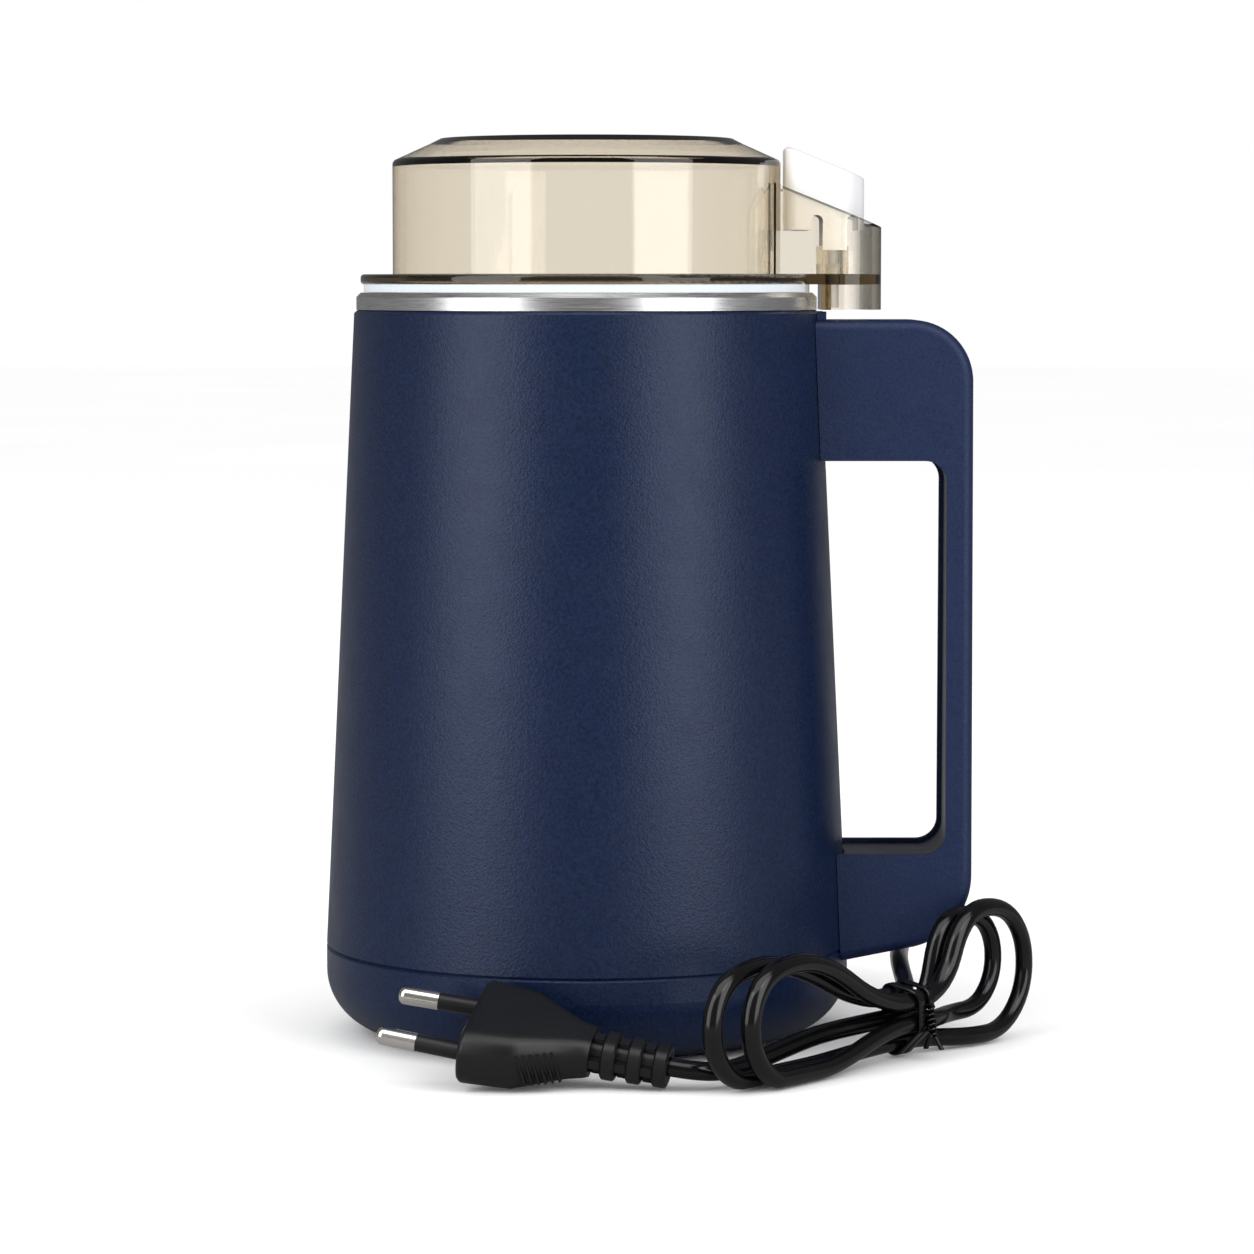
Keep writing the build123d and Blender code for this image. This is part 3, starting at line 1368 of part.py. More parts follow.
os.makedirs("parts", exist_ok=True)
for name, make in PIECES.items():
    export_step(make(), f"parts/{name}.step")
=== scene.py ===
import json
import math

import bmesh
import bpy
from mathutils import Matrix, Quaternion, Vector


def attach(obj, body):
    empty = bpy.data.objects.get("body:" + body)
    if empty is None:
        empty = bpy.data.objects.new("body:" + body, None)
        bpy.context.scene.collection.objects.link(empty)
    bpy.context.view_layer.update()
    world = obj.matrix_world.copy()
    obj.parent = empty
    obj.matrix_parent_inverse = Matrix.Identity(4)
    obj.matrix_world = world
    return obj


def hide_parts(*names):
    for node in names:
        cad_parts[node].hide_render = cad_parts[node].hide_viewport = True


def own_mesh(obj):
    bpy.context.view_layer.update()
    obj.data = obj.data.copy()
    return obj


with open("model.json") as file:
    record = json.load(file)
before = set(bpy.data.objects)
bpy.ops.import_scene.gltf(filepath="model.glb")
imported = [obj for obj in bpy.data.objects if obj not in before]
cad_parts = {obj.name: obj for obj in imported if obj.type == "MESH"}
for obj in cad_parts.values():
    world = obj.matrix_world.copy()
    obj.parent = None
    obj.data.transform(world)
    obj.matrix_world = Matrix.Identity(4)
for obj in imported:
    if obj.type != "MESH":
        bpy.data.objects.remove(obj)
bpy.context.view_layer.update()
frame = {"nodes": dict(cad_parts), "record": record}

NODES = frame["nodes"]
MM = 0.001

# Camera, in millimetres and degrees
EYE = (9.3, -1040.0, 174.0)
PITCH_DEG = 4.41
FOCAL_PX = 4500.0
PHOTO_PX = 1254.0
SENSOR_MM = 36.0

# Body and gland, as the cord needs them
BODY_TOP_R = 53.5
BODY_TOP_Z = 167.2
BODY_SEAM_R = 60.5
SEAM_Z = 20.5
GLAND_DEG = 56.0
GLAND_Z = 32.0
GLAND_LENGTH = 24.0

# Lid and its tab, as the painted shade on the clear plastic's edges needs them
FLANGE_Z = 173.0
FLANGE_T = 2.3
LID_R = BODY_TOP_R - 8.9
TAB_X = BODY_TOP_R + 14.2
TAB_ROOT_X = LID_R - 0.6
TAB_ROOT_Z = 195.6
TAB_SLOPE_DEG = 22.0

# Finishes
NAVY_SHEEN = (0.7, 0.78, 1.0)
NAVY_SHINE = 0.42
GRAIN_STRENGTH = 0.4
AMBER_IOR = 1.5
AMBER_TINT = (0.625, 0.49, 0.22, 1)
AMBER_DENSITY = 140.0
AMBER_SHADOW = 0.1  # how dense a shadow the clear plastic throws
# Painted shade on the clear plastic: dark bands on the flange, the tab's end and the tab's sloping edge
PAINTED_SHADE_COLOUR = (0.25, 0.26, 0.27, 1)
PAINTED_SHADE_FADE = 0.15
PAINTED_SHADE_ON_FLATS = 0.35  # the painted shade is fainter on the flange's flat faces than on its rim
PAINTED_SHADE_ON_SLOPE = 0.9
TAB_END = 7.0  # the painted shade begins this far from the tab's end
TAB_END_EDGE = 1.0  # and is full this far from it
TAB_RIM = 0.7

# Cord: its route, and the hank tied in the middle of it
CORD_D = 4.4
CORD_HALF_THICK = 1.95
LEAD_EXIT = 8.0
LEAD_ROUTE = (
    (59.3, 80.5, 31.3),
    (68.0, 80.2, 29.5),
    (74.8, 74.9, 26.5),
    (77.8, 66.0, 22.5),
    (77.6, 52.0, 18.8),
    (75.8, 36.0, 17.0),
    (74.0, 18.0, 16.4),
    (72.6, 0.0, 17.0),
    (71.9, -18.0, 17.2),
)
LEAD_ARRIVAL = 3.4
TAIL_EXIT = 9.0
TAIL_ROUTE = (
    (51.6, -55.4, 7.9),
    (43.2, -64.3, 6.0),
    (37.2, -71.6, 4.6),
    (31.2, -79.0, 3.8),
)
PLUG_EXIT = 6.0
HANK_X = 72.2
HANK_Y = -41.4
HANK_HEADING_DEG = 50.3
HANK_SIDE = 2.45  # of the two columns of strands at the waist, from its middle
HANK_COLUMN = (-1, -1, 1, 1, -1)  # each strand's column: back or front
HANK_HEIGHT = (14.2, 3.6, 13.25, 8.35, 9.3)
HANK_FOLD_COLUMN = (-1, 1, 1, -1)
HANK_REACH = (67.0, 42.0, 60.0, 36.5)
HANK_LOW = (2.5, 2.5, 2.5, 7.6)
HANK_RISE = (24.0, 29.0, 24.4, 22.0)
HANK_CLIMB = 40.0
TIE_WIDTH = 2.0
TIE_T = 0.7
TIE_SPACING = 3.6
TIE_TILT = 0.7
TIE_CLEARANCE = 0.1
TIE_TOP = (0.4, 1.1, 12.6)  # along the hank, out from its front strands, and up
TIE_TIP = (1.2, 1.7, 2.6)
TIE_TURNS = 3.2
TIE_TWISTED = 0.72  # share of the tie's ends that is twisted, above the splayed tips
TIE_SPLAY = 2.0
WIRE_R = 0.62

# Plug
PLUG_FACE = (-24.2, -73.5, 11.8)
PLUG_AXIS = (-0.97, 0.19, 0.15)
PLUG_ROLL_DEG = 21.0
PLUG_WIDTH = 30.0
PLUG_THICK = 13.0
PLUG_SHOULDER = 12.0
PLUG_TAPER = 0.92
PLUG_NECK = 27.0
PLUG_NECK_WIDTH = 11.6
PLUG_NECK_THICK = 9.4
PLUG_LENGTH = 44.0
PLUG_RIBS = 3
PLUG_TIP_WIDTH = 9.0
PLUG_CORE_R = 3.2
PLUG_ROUND = 0.4
PLUG_RIB_SHARE = 0.55
GRIP_RIDGES = 6
GRIP_START = 2.0
GRIP_PITCH = 1.35
GRIP_FALL = 0.61
GRIP_SUNK = 0.3
GRIP_HEIGHT = 1.3
GRIP_LONG = 7.4
GRIP_WIDE = 0.6
GRIP_LEAN_DEG = 20.0

# Stage, in metres
FLOOR_HALF = 4.0
FLOOR_FRONT = -0.4
FLOOR_MIRRORED = (0.3, 0.3, 0.3, 1)
STUDIO_MIRRORED = (0.16, 0.16, 0.165, 1)


def link(obj):
    bpy.context.scene.collection.objects.link(obj)
    return obj


# Camera

def make_camera():
    data = bpy.data.cameras.new("camera")
    data.sensor_width = SENSOR_MM
    data.lens = SENSOR_MM * FOCAL_PX / PHOTO_PX
    data.clip_start = 0.05
    data.clip_end = 50.0
    camera = link(bpy.data.objects.new("camera", data))
    camera.location = Vector(EYE) * MM
    camera.rotation_euler = (math.radians(90 - PITCH_DEG), 0, 0)
    bpy.context.scene.camera = camera


# Cord

def body_radius(z):
    """Outer radius of the body at a height."""
    return BODY_TOP_R + (BODY_TOP_Z - z) * (BODY_SEAM_R - BODY_TOP_R) / (BODY_TOP_Z - SEAM_Z)


def gland_point(out):
    """Point on the gland's axis, a distance out from the body's wall."""
    reach = body_radius(GLAND_Z) + out
    angle = math.radians(GLAND_DEG)
    return Vector((reach * math.cos(angle), reach * math.sin(angle), GLAND_Z))


def plug_matrix():
    """The plug's own frame: X along the pins' pitch, Z out along the pins, origin on its face."""
    axis = Vector(PLUG_AXIS).normalized()
    level = -axis.cross(Vector((0, 0, 1))).normalized()
    level.rotate(Quaternion(axis, math.radians(-PLUG_ROLL_DEG)))
    side = axis.cross(level)
    matrix = Matrix((level, side, axis)).transposed().to_4x4()
    matrix.translation = Vector(PLUG_FACE)
    return matrix


def hank_vector(u, w, v):
    """Direction in the hank's own frame: along it, across it towards the front, and up."""
    heading = math.radians(HANK_HEADING_DEG)
    x = u * math.cos(heading) + w * math.sin(heading)
    y = u * math.sin(heading) - w * math.cos(heading)
    return Vector((x, y, v))


def hank_point(u, w, v):
    return Vector((HANK_X, HANK_Y, 0)) + hank_vector(u, w, v)


def hank_strand(index):
    """Side step and height of one strand at the waist."""
    return HANK_COLUMN[index] * HANK_SIDE, HANK_HEIGHT[index]


def hank_fold(index, way, forward):
    """Half turn at one end of the hank: left folds run down, right folds run up."""
    radius = HANK_RISE[index] / 2
    side = HANK_FOLD_COLUMN[index] * HANK_SIDE
    low = HANK_LOW[index]
    high = low + HANK_RISE[index]
    first, second = (high, low) if way < 0 else (low, high)
    u = way * (HANK_REACH[index] - radius)
    upward = Vector((0, 0, 1 if second > first else -1))
    knots = [
        (hank_point(u, side, first), forward),
        (hank_point(way * HANK_REACH[index], side, low + radius), upward),
        (hank_point(u, side, second), -forward),
    ]
    if way < 0:
        knots.append((hank_point(way * HANK_CLIMB, side, second), -forward))
    return knots


def hank_knots():
    """Points and directions of the whole hank, strand by strand and fold by fold."""
    knots = []
    for index in range(len(HANK_HEIGHT)):
        way = -1 if index % 2 == 0 else 1
        side, height = hank_strand(index)
        forward = hank_vector(way, 0, 0)
        knots.append((hank_point(0, side, height), forward))
        if index < len(HANK_REACH):
            knots += hank_fold(index, way, forward)
    return knots


def hank_controls():
    """Control points of the hank's turns: two for each stretch between knots."""
    points = []
    knots = hank_knots()
    for (start, start_dir), (end, end_dir) in zip(knots, knots[1:]):
        chord = end - start
        spread = 2 * (1 - start_dir.dot(end_dir))
        along = chord.dot(start_dir + end_dir)
        if spread < 1e-6:
            arm = chord.dot(chord) / (2 * along)
        else:
            arm = (math.sqrt(along**2 + spread * chord.dot(chord)) - along) / spread
        points += [start + start_dir * arm, end - end_dir * arm]
    return points


def cord_route():
    """Control points of the whole cord, from the gland through the hank to the plug."""
    side, height = hank_strand(0)
    route = [gland_point(GLAND_LENGTH), gland_point(GLAND_LENGTH + LEAD_EXIT)]
    route += [Vector(p) for p in LEAD_ROUTE]
    route.append(hank_point(LEAD_ARRIVAL, side, height))
    route += hank_controls()
    side, height = hank_strand(len(HANK_REACH))
    route.append(hank_point(-TAIL_EXIT, side, height))
    route += [Vector(p) for p in TAIL_ROUTE]
    plug = plug_matrix()
    route.append(plug @ Vector((0, 0, -PLUG_LENGTH - PLUG_EXIT)))
    route.append(plug @ Vector((0, 0, -PLUG_LENGTH)))
    return route


def nurbs(name, points):
    """Curve of one open smooth spline with these control points, in metres."""
    curve = bpy.data.curves.new(name, "CURVE")
    curve.dimensions = "3D"
    spline = curve.splines.new("NURBS")
    spline.points.add(len(points) - 1)
    for target, place in zip(spline.points, points):
        target.co = (*place, 1.0)
        target.radius = CORD_D / 2 * MM
    spline.order_u = 3
    spline.use_endpoint_u = True
    spline.resolution_u = 8
    return curve


def cord_section():
    """Section of the two-core cord, a plump oval, for a cord of radius 1."""
    steps = 24
    curve = bpy.data.curves.new("cord_section", "CURVE")
    spline = curve.splines.new("POLY")
    spline.points.add(steps - 1)
    for i, target in enumerate(spline.points):
        angle = 2 * math.pi * i / steps
        y = CORD_HALF_THICK / (CORD_D / 2) * math.sin(angle)
        target.co = (math.cos(angle), y, 0, 1)
    spline.use_cyclic_u = True
    section = link(bpy.data.objects.new("cord_section", curve))
    section.hide_render = True
    section.hide_viewport = True
    return section


def make_cord():
    curve = nurbs("power_cord", [p * MM for p in cord_route()])
    curve.bevel_mode = "OBJECT"
    curve.bevel_object = cord_section()
    curve.use_fill_caps = True
    curve.twist_mode = "MINIMUM"
    cord = link(bpy.data.objects.new("power_cord", curve))
    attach(cord, "body")
    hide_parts("cord_lead", "cord_hank", "cord_tail")
    return cord


make_camera()
power_cord = make_cord()


# Materials

def new_material(name):
    material = bpy.data.materials.new(name)
    material.use_nodes = True
    tree = material.node_tree
    shader = tree.nodes["Principled BSDF"]
    return material, tree, shader


def place_of(tree):
    """Coordinates in the object's own frame."""
    return tree.nodes.new("ShaderNodeTexCoord").outputs["Object"]


def normal_of(tree):
    """The way that a face looks, in the object's own frame."""
    return tree.nodes.new("ShaderNodeTexCoord").outputs["Normal"]


def x_and_z(tree, vector):
    """Two of a vector's parts: X, towards the handle, and Z, up."""
    node = tree.nodes.new("ShaderNodeSeparateXYZ")
    tree.links.new(vector, node.inputs["Vector"])
    return node.outputs["X"], node.outputs["Z"]


def math_node(tree, operation, first, second):
    """Output of a math node on a socket and a socket or a number."""
    node = tree.nodes.new("ShaderNodeMath")
    node.operation = operation
    tree.links.new(first, node.inputs[0])
    if isinstance(second, float):
        node.inputs[1].default_value = second
    else:
        tree.links.new(second, node.inputs[1])
    return node.outputs["Value"]


def noise(tree, place, scale, detail=3.0, roughness=0.5):
    node = tree.nodes.new("ShaderNodeTexNoise")
    node.inputs["Scale"].default_value = scale
    node.inputs["Detail"].default_value = detail
    node.inputs["Roughness"].default_value = roughness
    tree.links.new(place, node.inputs["Vector"])
    return node.outputs["Fac"]


def stretched(tree, place, scale):
    """Coordinates stretched by a scale on each axis."""
    node = tree.nodes.new("ShaderNodeMapping")
    node.inputs["Scale"].default_value = scale
    tree.links.new(place, node.inputs["Vector"])
    return node.outputs["Vector"]


def ramp(tree, value, low, high, start=0.3, stop=0.7):
    """A value mapped to a smooth run between two numbers."""
    node = tree.nodes.new("ShaderNodeMapRange")
    node.inputs["From Min"].default_value = start
    node.inputs["From Max"].default_value = stop
    node.inputs["To Min"].default_value = low
    node.inputs["To Max"].default_value = high
    tree.links.new(value, node.inputs["Value"])
    return node.outputs["Result"]


def tinted(tree, shader, value, dark, light, start=0.3, stop=0.7):
    """Base colour that runs between two colours."""
    node = tree.nodes.new("ShaderNodeValToRGB")
    node.color_ramp.elements[0].position = start
    node.color_ramp.elements[1].position = stop
    node.color_ramp.elements[0].color = (*dark, 1)
    node.color_ramp.elements[1].color = (*light, 1)
    tree.links.new(value, node.inputs["Fac"])
    tree.links.new(node.outputs["Color"], shader.inputs["Base Color"])


def bump(tree, shader, height, strength, depth_mm):
    node = tree.nodes.new("ShaderNodeBump")
    node.inputs["Strength"].default_value = strength
    node.inputs["Distance"].default_value = depth_mm * MM
    tree.links.new(height, node.inputs["Height"])
    tree.links.new(node.outputs["Normal"], shader.inputs["Normal"])


def grain(tree, place, cell_mm):
    """Fine pebbled grain, as a spark-eroded mould leaves it."""
    cells = tree.nodes.new("ShaderNodeTexVoronoi")
    cells.feature = "SMOOTH_F1"
    cells.inputs["Scale"].default_value = 1 / (cell_mm * MM)
    tree.links.new(place, cells.inputs["Vector"])
    fine = noise(tree, place, 1.6 / (cell_mm * MM), 2.0)
    return math_node(tree, "ADD", cells.outputs["Distance"], fine)


def grained(name, rough, cell_mm, depth_mm, shine=0.5, sheen=(1, 1, 1)):
    """Plastic with a grain and an uneven sheen, not coloured yet."""
    material, tree, shader = new_material(name)
    shader.inputs["Specular IOR Level"].default_value = shine
    shader.inputs["Specular Tint"].default_value = (*sheen, 1)
    place = place_of(tree)
    tree.links.new(ramp(tree, noise(tree, place, 120.0), *rough), shader.inputs["Roughness"])
    bump(tree, shader, grain(tree, place, cell_mm), GRAIN_STRENGTH, depth_mm)
    return material, tree, shader


def plastic(name, dark, light, rough, cell_mm, depth_mm, *gloss):
    """Moulded plastic whose colour varies slightly with the grain."""
    material, tree, shader = grained(name, rough, cell_mm, depth_mm, *gloss)
    mottle = noise(tree, place_of(tree), 0.7 / (cell_mm * MM), 2.0)
    tinted(tree, shader, mottle, dark, light)
    return material


def white_plastic():
    """White moulded plastic with painted shade: a shade greyer on its upward and outward faces."""
    material, tree, shader = grained("white_plastic", (0.25, 0.33), 0.7, 0.003)
    x, z = x_and_z(tree, normal_of(tree))
    # painted shade: the more a face turns up or out, the greyer the white
    painted_grey = math_node(tree, "MAXIMUM", x, z)
    tinted(tree, shader, painted_grey, (0.75, 0.75, 0.75), (0.55, 0.55, 0.56), 0.15, 0.75)
    return material


def metal(name, dark, light, rough, stretch, scale, depth_mm):
    """Metal with fine working lines along one direction."""
    material, tree, shader = new_material(name)
    shader.inputs["Metallic"].default_value = 1.0
    place = stretched(tree, place_of(tree), stretch)
    lines = noise(tree, place, scale, 4.0, 0.6)
    tinted(tree, shader, lines, dark, light)
    tree.links.new(ramp(tree, lines, *rough), shader.inputs["Roughness"])
    bump(tree, shader, lines, 0.3, depth_mm)
    return material


def flange_painted_shade(tree, z):
    """Painted shade on the flange, strongest on its rim."""
    off_middle = math_node(tree, "SUBTRACT", z, (FLANGE_Z + FLANGE_T / 2) * MM)
    off_middle = math_node(tree, "ABSOLUTE", off_middle, 0.0)
    band = ramp(tree, off_middle, 1.0, 0.0, FLANGE_T / 2 * MM, (FLANGE_T / 2 + PAINTED_SHADE_FADE) * MM)
    upward = x_and_z(tree, normal_of(tree))[1]
    level = math_node(tree, "ABSOLUTE", upward, 0.0)
    return math_node(tree, "MULTIPLY", band, ramp(tree, level, 1.0, PAINTED_SHADE_ON_FLATS, 0.3, 0.9))


def slope_painted_shade(tree, x, z):
    """Painted shade along the tab's sloping edge, a dark line."""
    slope = math.tan(math.radians(TAB_SLOPE_DEG))
    height = math_node(tree, "ADD", z, math_node(tree, "MULTIPLY", x, slope))
    top = (TAB_ROOT_Z + slope * TAB_ROOT_X) * MM
    band = ramp(tree, height, 0.0, PAINTED_SHADE_ON_SLOPE, top - TAB_RIM * MM, top - TAB_RIM / 2 * MM)
    on_tab = ramp(tree, x, 0.0, 1.0, LID_R * MM, (LID_R + PAINTED_SHADE_FADE) * MM)
    return math_node(tree, "MULTIPLY", band, on_tab)


def edges_painted_shade(tree, place):
    """Colour that is clear but for bands of painted shade: the flange, the tab's end and its sloping edge."""
    x, z = x_and_z(tree, place)
    end = ramp(tree, x, 0.0, 1.0, (TAB_X - TAB_END) * MM, (TAB_X - TAB_END_EDGE) * MM)
    tab = math_node(tree, "MAXIMUM", end, slope_painted_shade(tree, x, z))
    painted_darkness = math_node(tree, "MAXIMUM", flange_painted_shade(tree, z), tab)
    node = tree.nodes.new("ShaderNodeValToRGB")
    node.color_ramp.elements[0].color = (1, 1, 1, 1)
    node.color_ramp.elements[1].color = PAINTED_SHADE_COLOUR
    tree.links.new(painted_darkness, node.inputs["Fac"])
    return node.outputs["Color"]


def clear_amber():
    """Clear tinted plastic: the tint deepens with the length of the way through it."""
    material, tree, shader = new_material("amber_clear")
    shader.inputs["Transmission Weight"].default_value = 1.0
    shader.inputs["IOR"].default_value = AMBER_IOR
    place = place_of(tree)
    tree.links.new(ramp(tree, noise(tree, place, 60.0), 0.01, 0.04), shader.inputs["Roughness"])
    bump(tree, shader, noise(tree, place, 40.0), 0.02, 0.05)
    # Base colour: painted shade on the flange, the tab's end and the tab's sloping edge
    tree.links.new(edges_painted_shade(tree, place), shader.inputs["Base Color"])
    path = tree.nodes.new("ShaderNodeLightPath")
    see_through = ramp(tree, path.outputs["Is Shadow Ray"], 1.0, AMBER_SHADOW, 0.0, 1.0)
    tree.links.new(see_through, shader.inputs["Alpha"])
    tint = tree.nodes.new("ShaderNodeVolumeAbsorption")
    tint.inputs["Color"].default_value = AMBER_TINT
    tint.inputs["Density"].default_value = AMBER_DENSITY
    tree.links.new(tint.outputs["Volume"], tree.nodes["Material Output"].inputs["Volume"])
    return material


def wound(name, dark, light, rough, scale):
    """Enamelled wire in close turns."""
    material, tree, shader = new_material(name)
    shader.inputs["Metallic"].default_value = 0.8
    wave = tree.nodes.new("ShaderNodeTexWave")
    wave.inputs["Scale"].default_value = scale
    wave.inputs["Distortion"].default_value = 1.5
    tree.links.new(place_of(tree), wave.inputs["Vector"])
    tinted(tree, shader, wave.outputs["Fac"], dark, light, 0.2, 0.8)
    shader.inputs["Roughness"].default_value = rough
    bump(tree, shader, wave.outputs["Fac"], 0.6, 0.2)
    return material


LOOKS = {
    "navy_plastic": plastic(
        "navy_plastic", (0.0012, 0.005, 0.021), (0.0034, 0.011, 0.04), (0.33, 0.39), 0.55, 0.12,
        NAVY_SHINE, NAVY_SHEEN,
    ),
    "navy_satin": plastic(
        "navy_satin", (0.0012, 0.005, 0.021), (0.0034, 0.011, 0.04), (0.3, 0.36), 0.5, 0.07,
        NAVY_SHINE, NAVY_SHEEN,
    ),
    "handle_shell": plastic(
        "navy_handle", (0.0018, 0.0078, 0.036), (0.0036, 0.0122, 0.051), (0.46, 0.54), 0.55, 0.1,
        NAVY_SHINE, NAVY_SHEEN,
    ),
    "white_seal": plastic("white_seal", (0.53, 0.575, 0.615), (0.57, 0.615, 0.655), (0.4, 0.5), 0.6, 0.005),
    "white_plastic": white_plastic(),
    "black_rubber": plastic(
        "black_rubber", (0.012, 0.012, 0.012), (0.02, 0.02, 0.02), (0.6, 0.75), 0.4, 0.04,
    ),
    "bracket_plastic": plastic(
        "bracket_plastic", (0.02, 0.02, 0.021), (0.03, 0.03, 0.031), (0.45, 0.6), 0.5, 0.03,
    ),
    "carbon": plastic("carbon", (0.008, 0.008, 0.008), (0.018, 0.018, 0.018), (0.5, 0.7), 0.3, 0.04),
    "switch_black": plastic(
        "switch_black", (0.008, 0.008, 0.008), (0.014, 0.014, 0.014), (0.4, 0.5), 0.4, 0.02,
    ),
    "cord_black": plastic(
        "cord_black", (0.002, 0.002, 0.0023), (0.003, 0.003, 0.0034), (0.12, 0.19), 0.5, 0.008, 0.4,
    ),
    "plug_black": plastic(
        "plug_black", (0.004, 0.0042, 0.0047), (0.0055, 0.0057, 0.0063), (0.3, 0.4), 0.4, 0.03, 0.36,
    ),
    "amber_clear": clear_amber(),
    "steel": metal("steel", (0.62, 0.62, 0.62), (0.74, 0.74, 0.74), (0.24, 0.36), (1, 1, 40), 120.0, 0.006),
    "screw_steel": metal(
        "screw_steel", (0.5, 0.5, 0.51), (0.62, 0.62, 0.63), (0.25, 0.4), (1, 1, 1), 400.0, 0.01,
    ),
    "bearing_bronze": metal(
        "bearing_bronze", (0.36, 0.22, 0.10), (0.46, 0.30, 0.15), (0.35, 0.5), (1, 1, 1), 500.0, 0.01,
    ),
    "laminations": metal(
        "laminations", (0.16, 0.16, 0.17), (0.3, 0.3, 0.31), (0.4, 0.55), (1, 1, 60), 40.0, 0.05,
    ),
    "copper": wound("copper", (0.35, 0.12, 0.05), (0.62, 0.26, 0.11), 0.35, 400.0),
    "pin_metal": metal(
        "pin_metal", (0.78, 0.75, 0.70), (0.84, 0.81, 0.76), (0.16, 0.2), (1, 1, 1), 60.0, 0.001,
    ),
}


def dress(obj, look):
    """Give a piece a finish."""
    obj.data.materials.clear()
    obj.data.materials.append(LOOKS[look])


def dress_nodes():
    """Give each node its own finish, or else its slot's."""
    for part in frame["record"]["subparts"]:
        node = part["node"]
        dress(NODES[node], node if node in LOOKS else part["material_slot"])


dress_nodes()
dress(power_cord, "cord_black")


# Twist tie

def mesh_piece(name, points, faces, body, replaced, slot, smooth_deg=40):
    """Piece made of points in millimetres, in place of one of the CAD nodes."""
    mesh = bpy.data.meshes.new(name)
    mesh.from_pydata([Vector(p) * MM for p in points], [], faces)
    tidy = bmesh.new()
    tidy.from_mesh(mesh)
    bmesh.ops.recalc_face_normals(tidy, faces=tidy.faces)
    tidy.to_mesh(mesh)
    tidy.free()
    mesh.shade_smooth()
    mesh.set_sharp_from_angle(angle=math.radians(smooth_deg))
    piece = link(bpy.data.objects.new(name, mesh))
    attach(piece, body)
    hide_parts(replaced)
    dress(piece, slot)
    return piece


def add_rings(points, faces, rings, closed):
    """Skin over a run of point rings: closed on itself, or capped at both ends."""
    first = len(points)
    count = len(rings[0])
    for ring in rings:
        points.extend(ring)
    spans = len(rings) if closed else len(rings) - 1
    for i in range(spans):
        here = first + i * count
        there = first + (i + 1) % len(rings) * count
        for k in range(count):
            after = (k + 1) % count
            faces.append((here + k, here + after, there + after, there + k))
    if not closed:
        last = first + (len(rings) - 1) * count
        faces.append(tuple(first + k for k in reversed(range(count))))
        faces.append(tuple(last + k for k in range(count)))


def tie_band(points, faces, u, tilt):
    """Flat band that hugs the strands at the waist, a little askew."""
    steps = 72
    middles = [Vector((c * HANK_SIDE, z)) for c, z in zip(HANK_COLUMN, HANK_HEIGHT)]
    half = TIE_WIDTH / 2
    edge = TIE_T / 3
    section = (
        (-half, edge), (-half + edge, 0), (half - edge, 0), (half, edge),
        (half, TIE_T - edge), (half - edge, TIE_T), (-half + edge, TIE_T), (-half, TIE_T - edge),
    )
    rings = []
    for i in range(steps):
        angle = 2 * math.pi * i / steps
        way = Vector((math.cos(angle), math.sin(angle)))
        middle = max(middles, key=way.dot)
        shift = u + tilt * math.sin(angle)
        ring = []
        for along, out in section:
            place = middle + way * (CORD_D / 2 + TIE_CLEARANCE + out)
            ring.append(hank_point(shift + along, place.x, place.y))
        rings.append(ring)
    add_rings(points, faces, rings, True)


def tie_wire(points, faces, phase):
    """One of the tie's two ends, twisted with the other and splayed at the tip."""
    steps = 64
    sides = 10
    front = Vector((0, HANK_SIDE + CORD_D / 2, 0))
    top = front + Vector(TIE_TOP)
    tip = front + Vector(TIE_TIP)
    rings = []
    for i in range(steps + 1):
        share = i / steps
        angle = phase + 2 * math.pi * TIE_TURNS * min(share / TIE_TWISTED, 1.0)
        splay = WIRE_R * (1 + TIE_SPLAY * max(share - TIE_TWISTED, 0) / (1 - TIE_TWISTED))
        place = top.lerp(tip, share)
        place += Vector((math.cos(angle), math.sin(angle), 0)) * splay
        ring = []
        for k in range(sides):
            round_angle = 2 * math.pi * k / sides
            u = place.x + WIRE_R * math.cos(round_angle)
            w = place.y + WIRE_R * math.sin(round_angle)
            ring.append(hank_point(u, w, place.z))
        rings.append(ring)
    add_rings(points, faces, rings, False)


def make_tie():
    points = []
    faces = []
    tie_band(points, faces, TIE_SPACING / 2, TIE_TILT)
    tie_band(points, faces, -TIE_SPACING / 2, -TIE_TILT)
    tie_wire(points, faces, 0)
    tie_wire(points, faces, math.pi)
    return mesh_piece("tie", points, faces, "body", "twist_tie", "cord_black")


# Plug

def plug_section(z, width, thick):
    """Rounded rectangle across the plug, at a height on its axis."""
    steps = 9
    radius = PLUG_ROUND * thick
    frame_of_plug = plug_matrix()
    ring = []
    for quarter, (sx, sy) in enumerate(((1, 1), (-1, 1), (-1, -1), (1, -1))):
        for i in range(steps + 1):
            angle = math.pi / 2 * (quarter + i / steps)
            x = sx * (width / 2 - radius) + radius * math.cos(angle)
            y = sy * (thick / 2 - radius) + radius * math.sin(angle)
            ring.append(frame_of_plug @ Vector((x, y, z)))
    return ring


def plug_run(points, faces, sections):
    add_rings(points, faces, [plug_section(*section) for section in sections], False)


def plug_block(points, faces, middle, size, lean=0.0):
    """Small rounded bar on the plug, in its own frame, leaning about the plug's width."""
    frame_of_plug = plug_matrix()
    edge = min(size) * 0.3
    turn = Matrix.Rotation(lean, 3, "X")
    rings = []
    for z, grow in ((-1, -edge), (-1, 0), (1, 0), (1, -edge)):
        inset = 0 if grow else edge
        ring = []
        for sx, sy in ((1, 1), (-1, 1), (-1, -1), (1, -1)):
            local = Vector((
                sx * (size[0] / 2 + grow), sy * (size[1] / 2 + grow), z * (size[2] / 2 - inset),
            ))
            ring.append(frame_of_plug @ (Vector(middle) + turn @ local))
        rings.append(ring)
    add_rings(points, faces, rings, False)


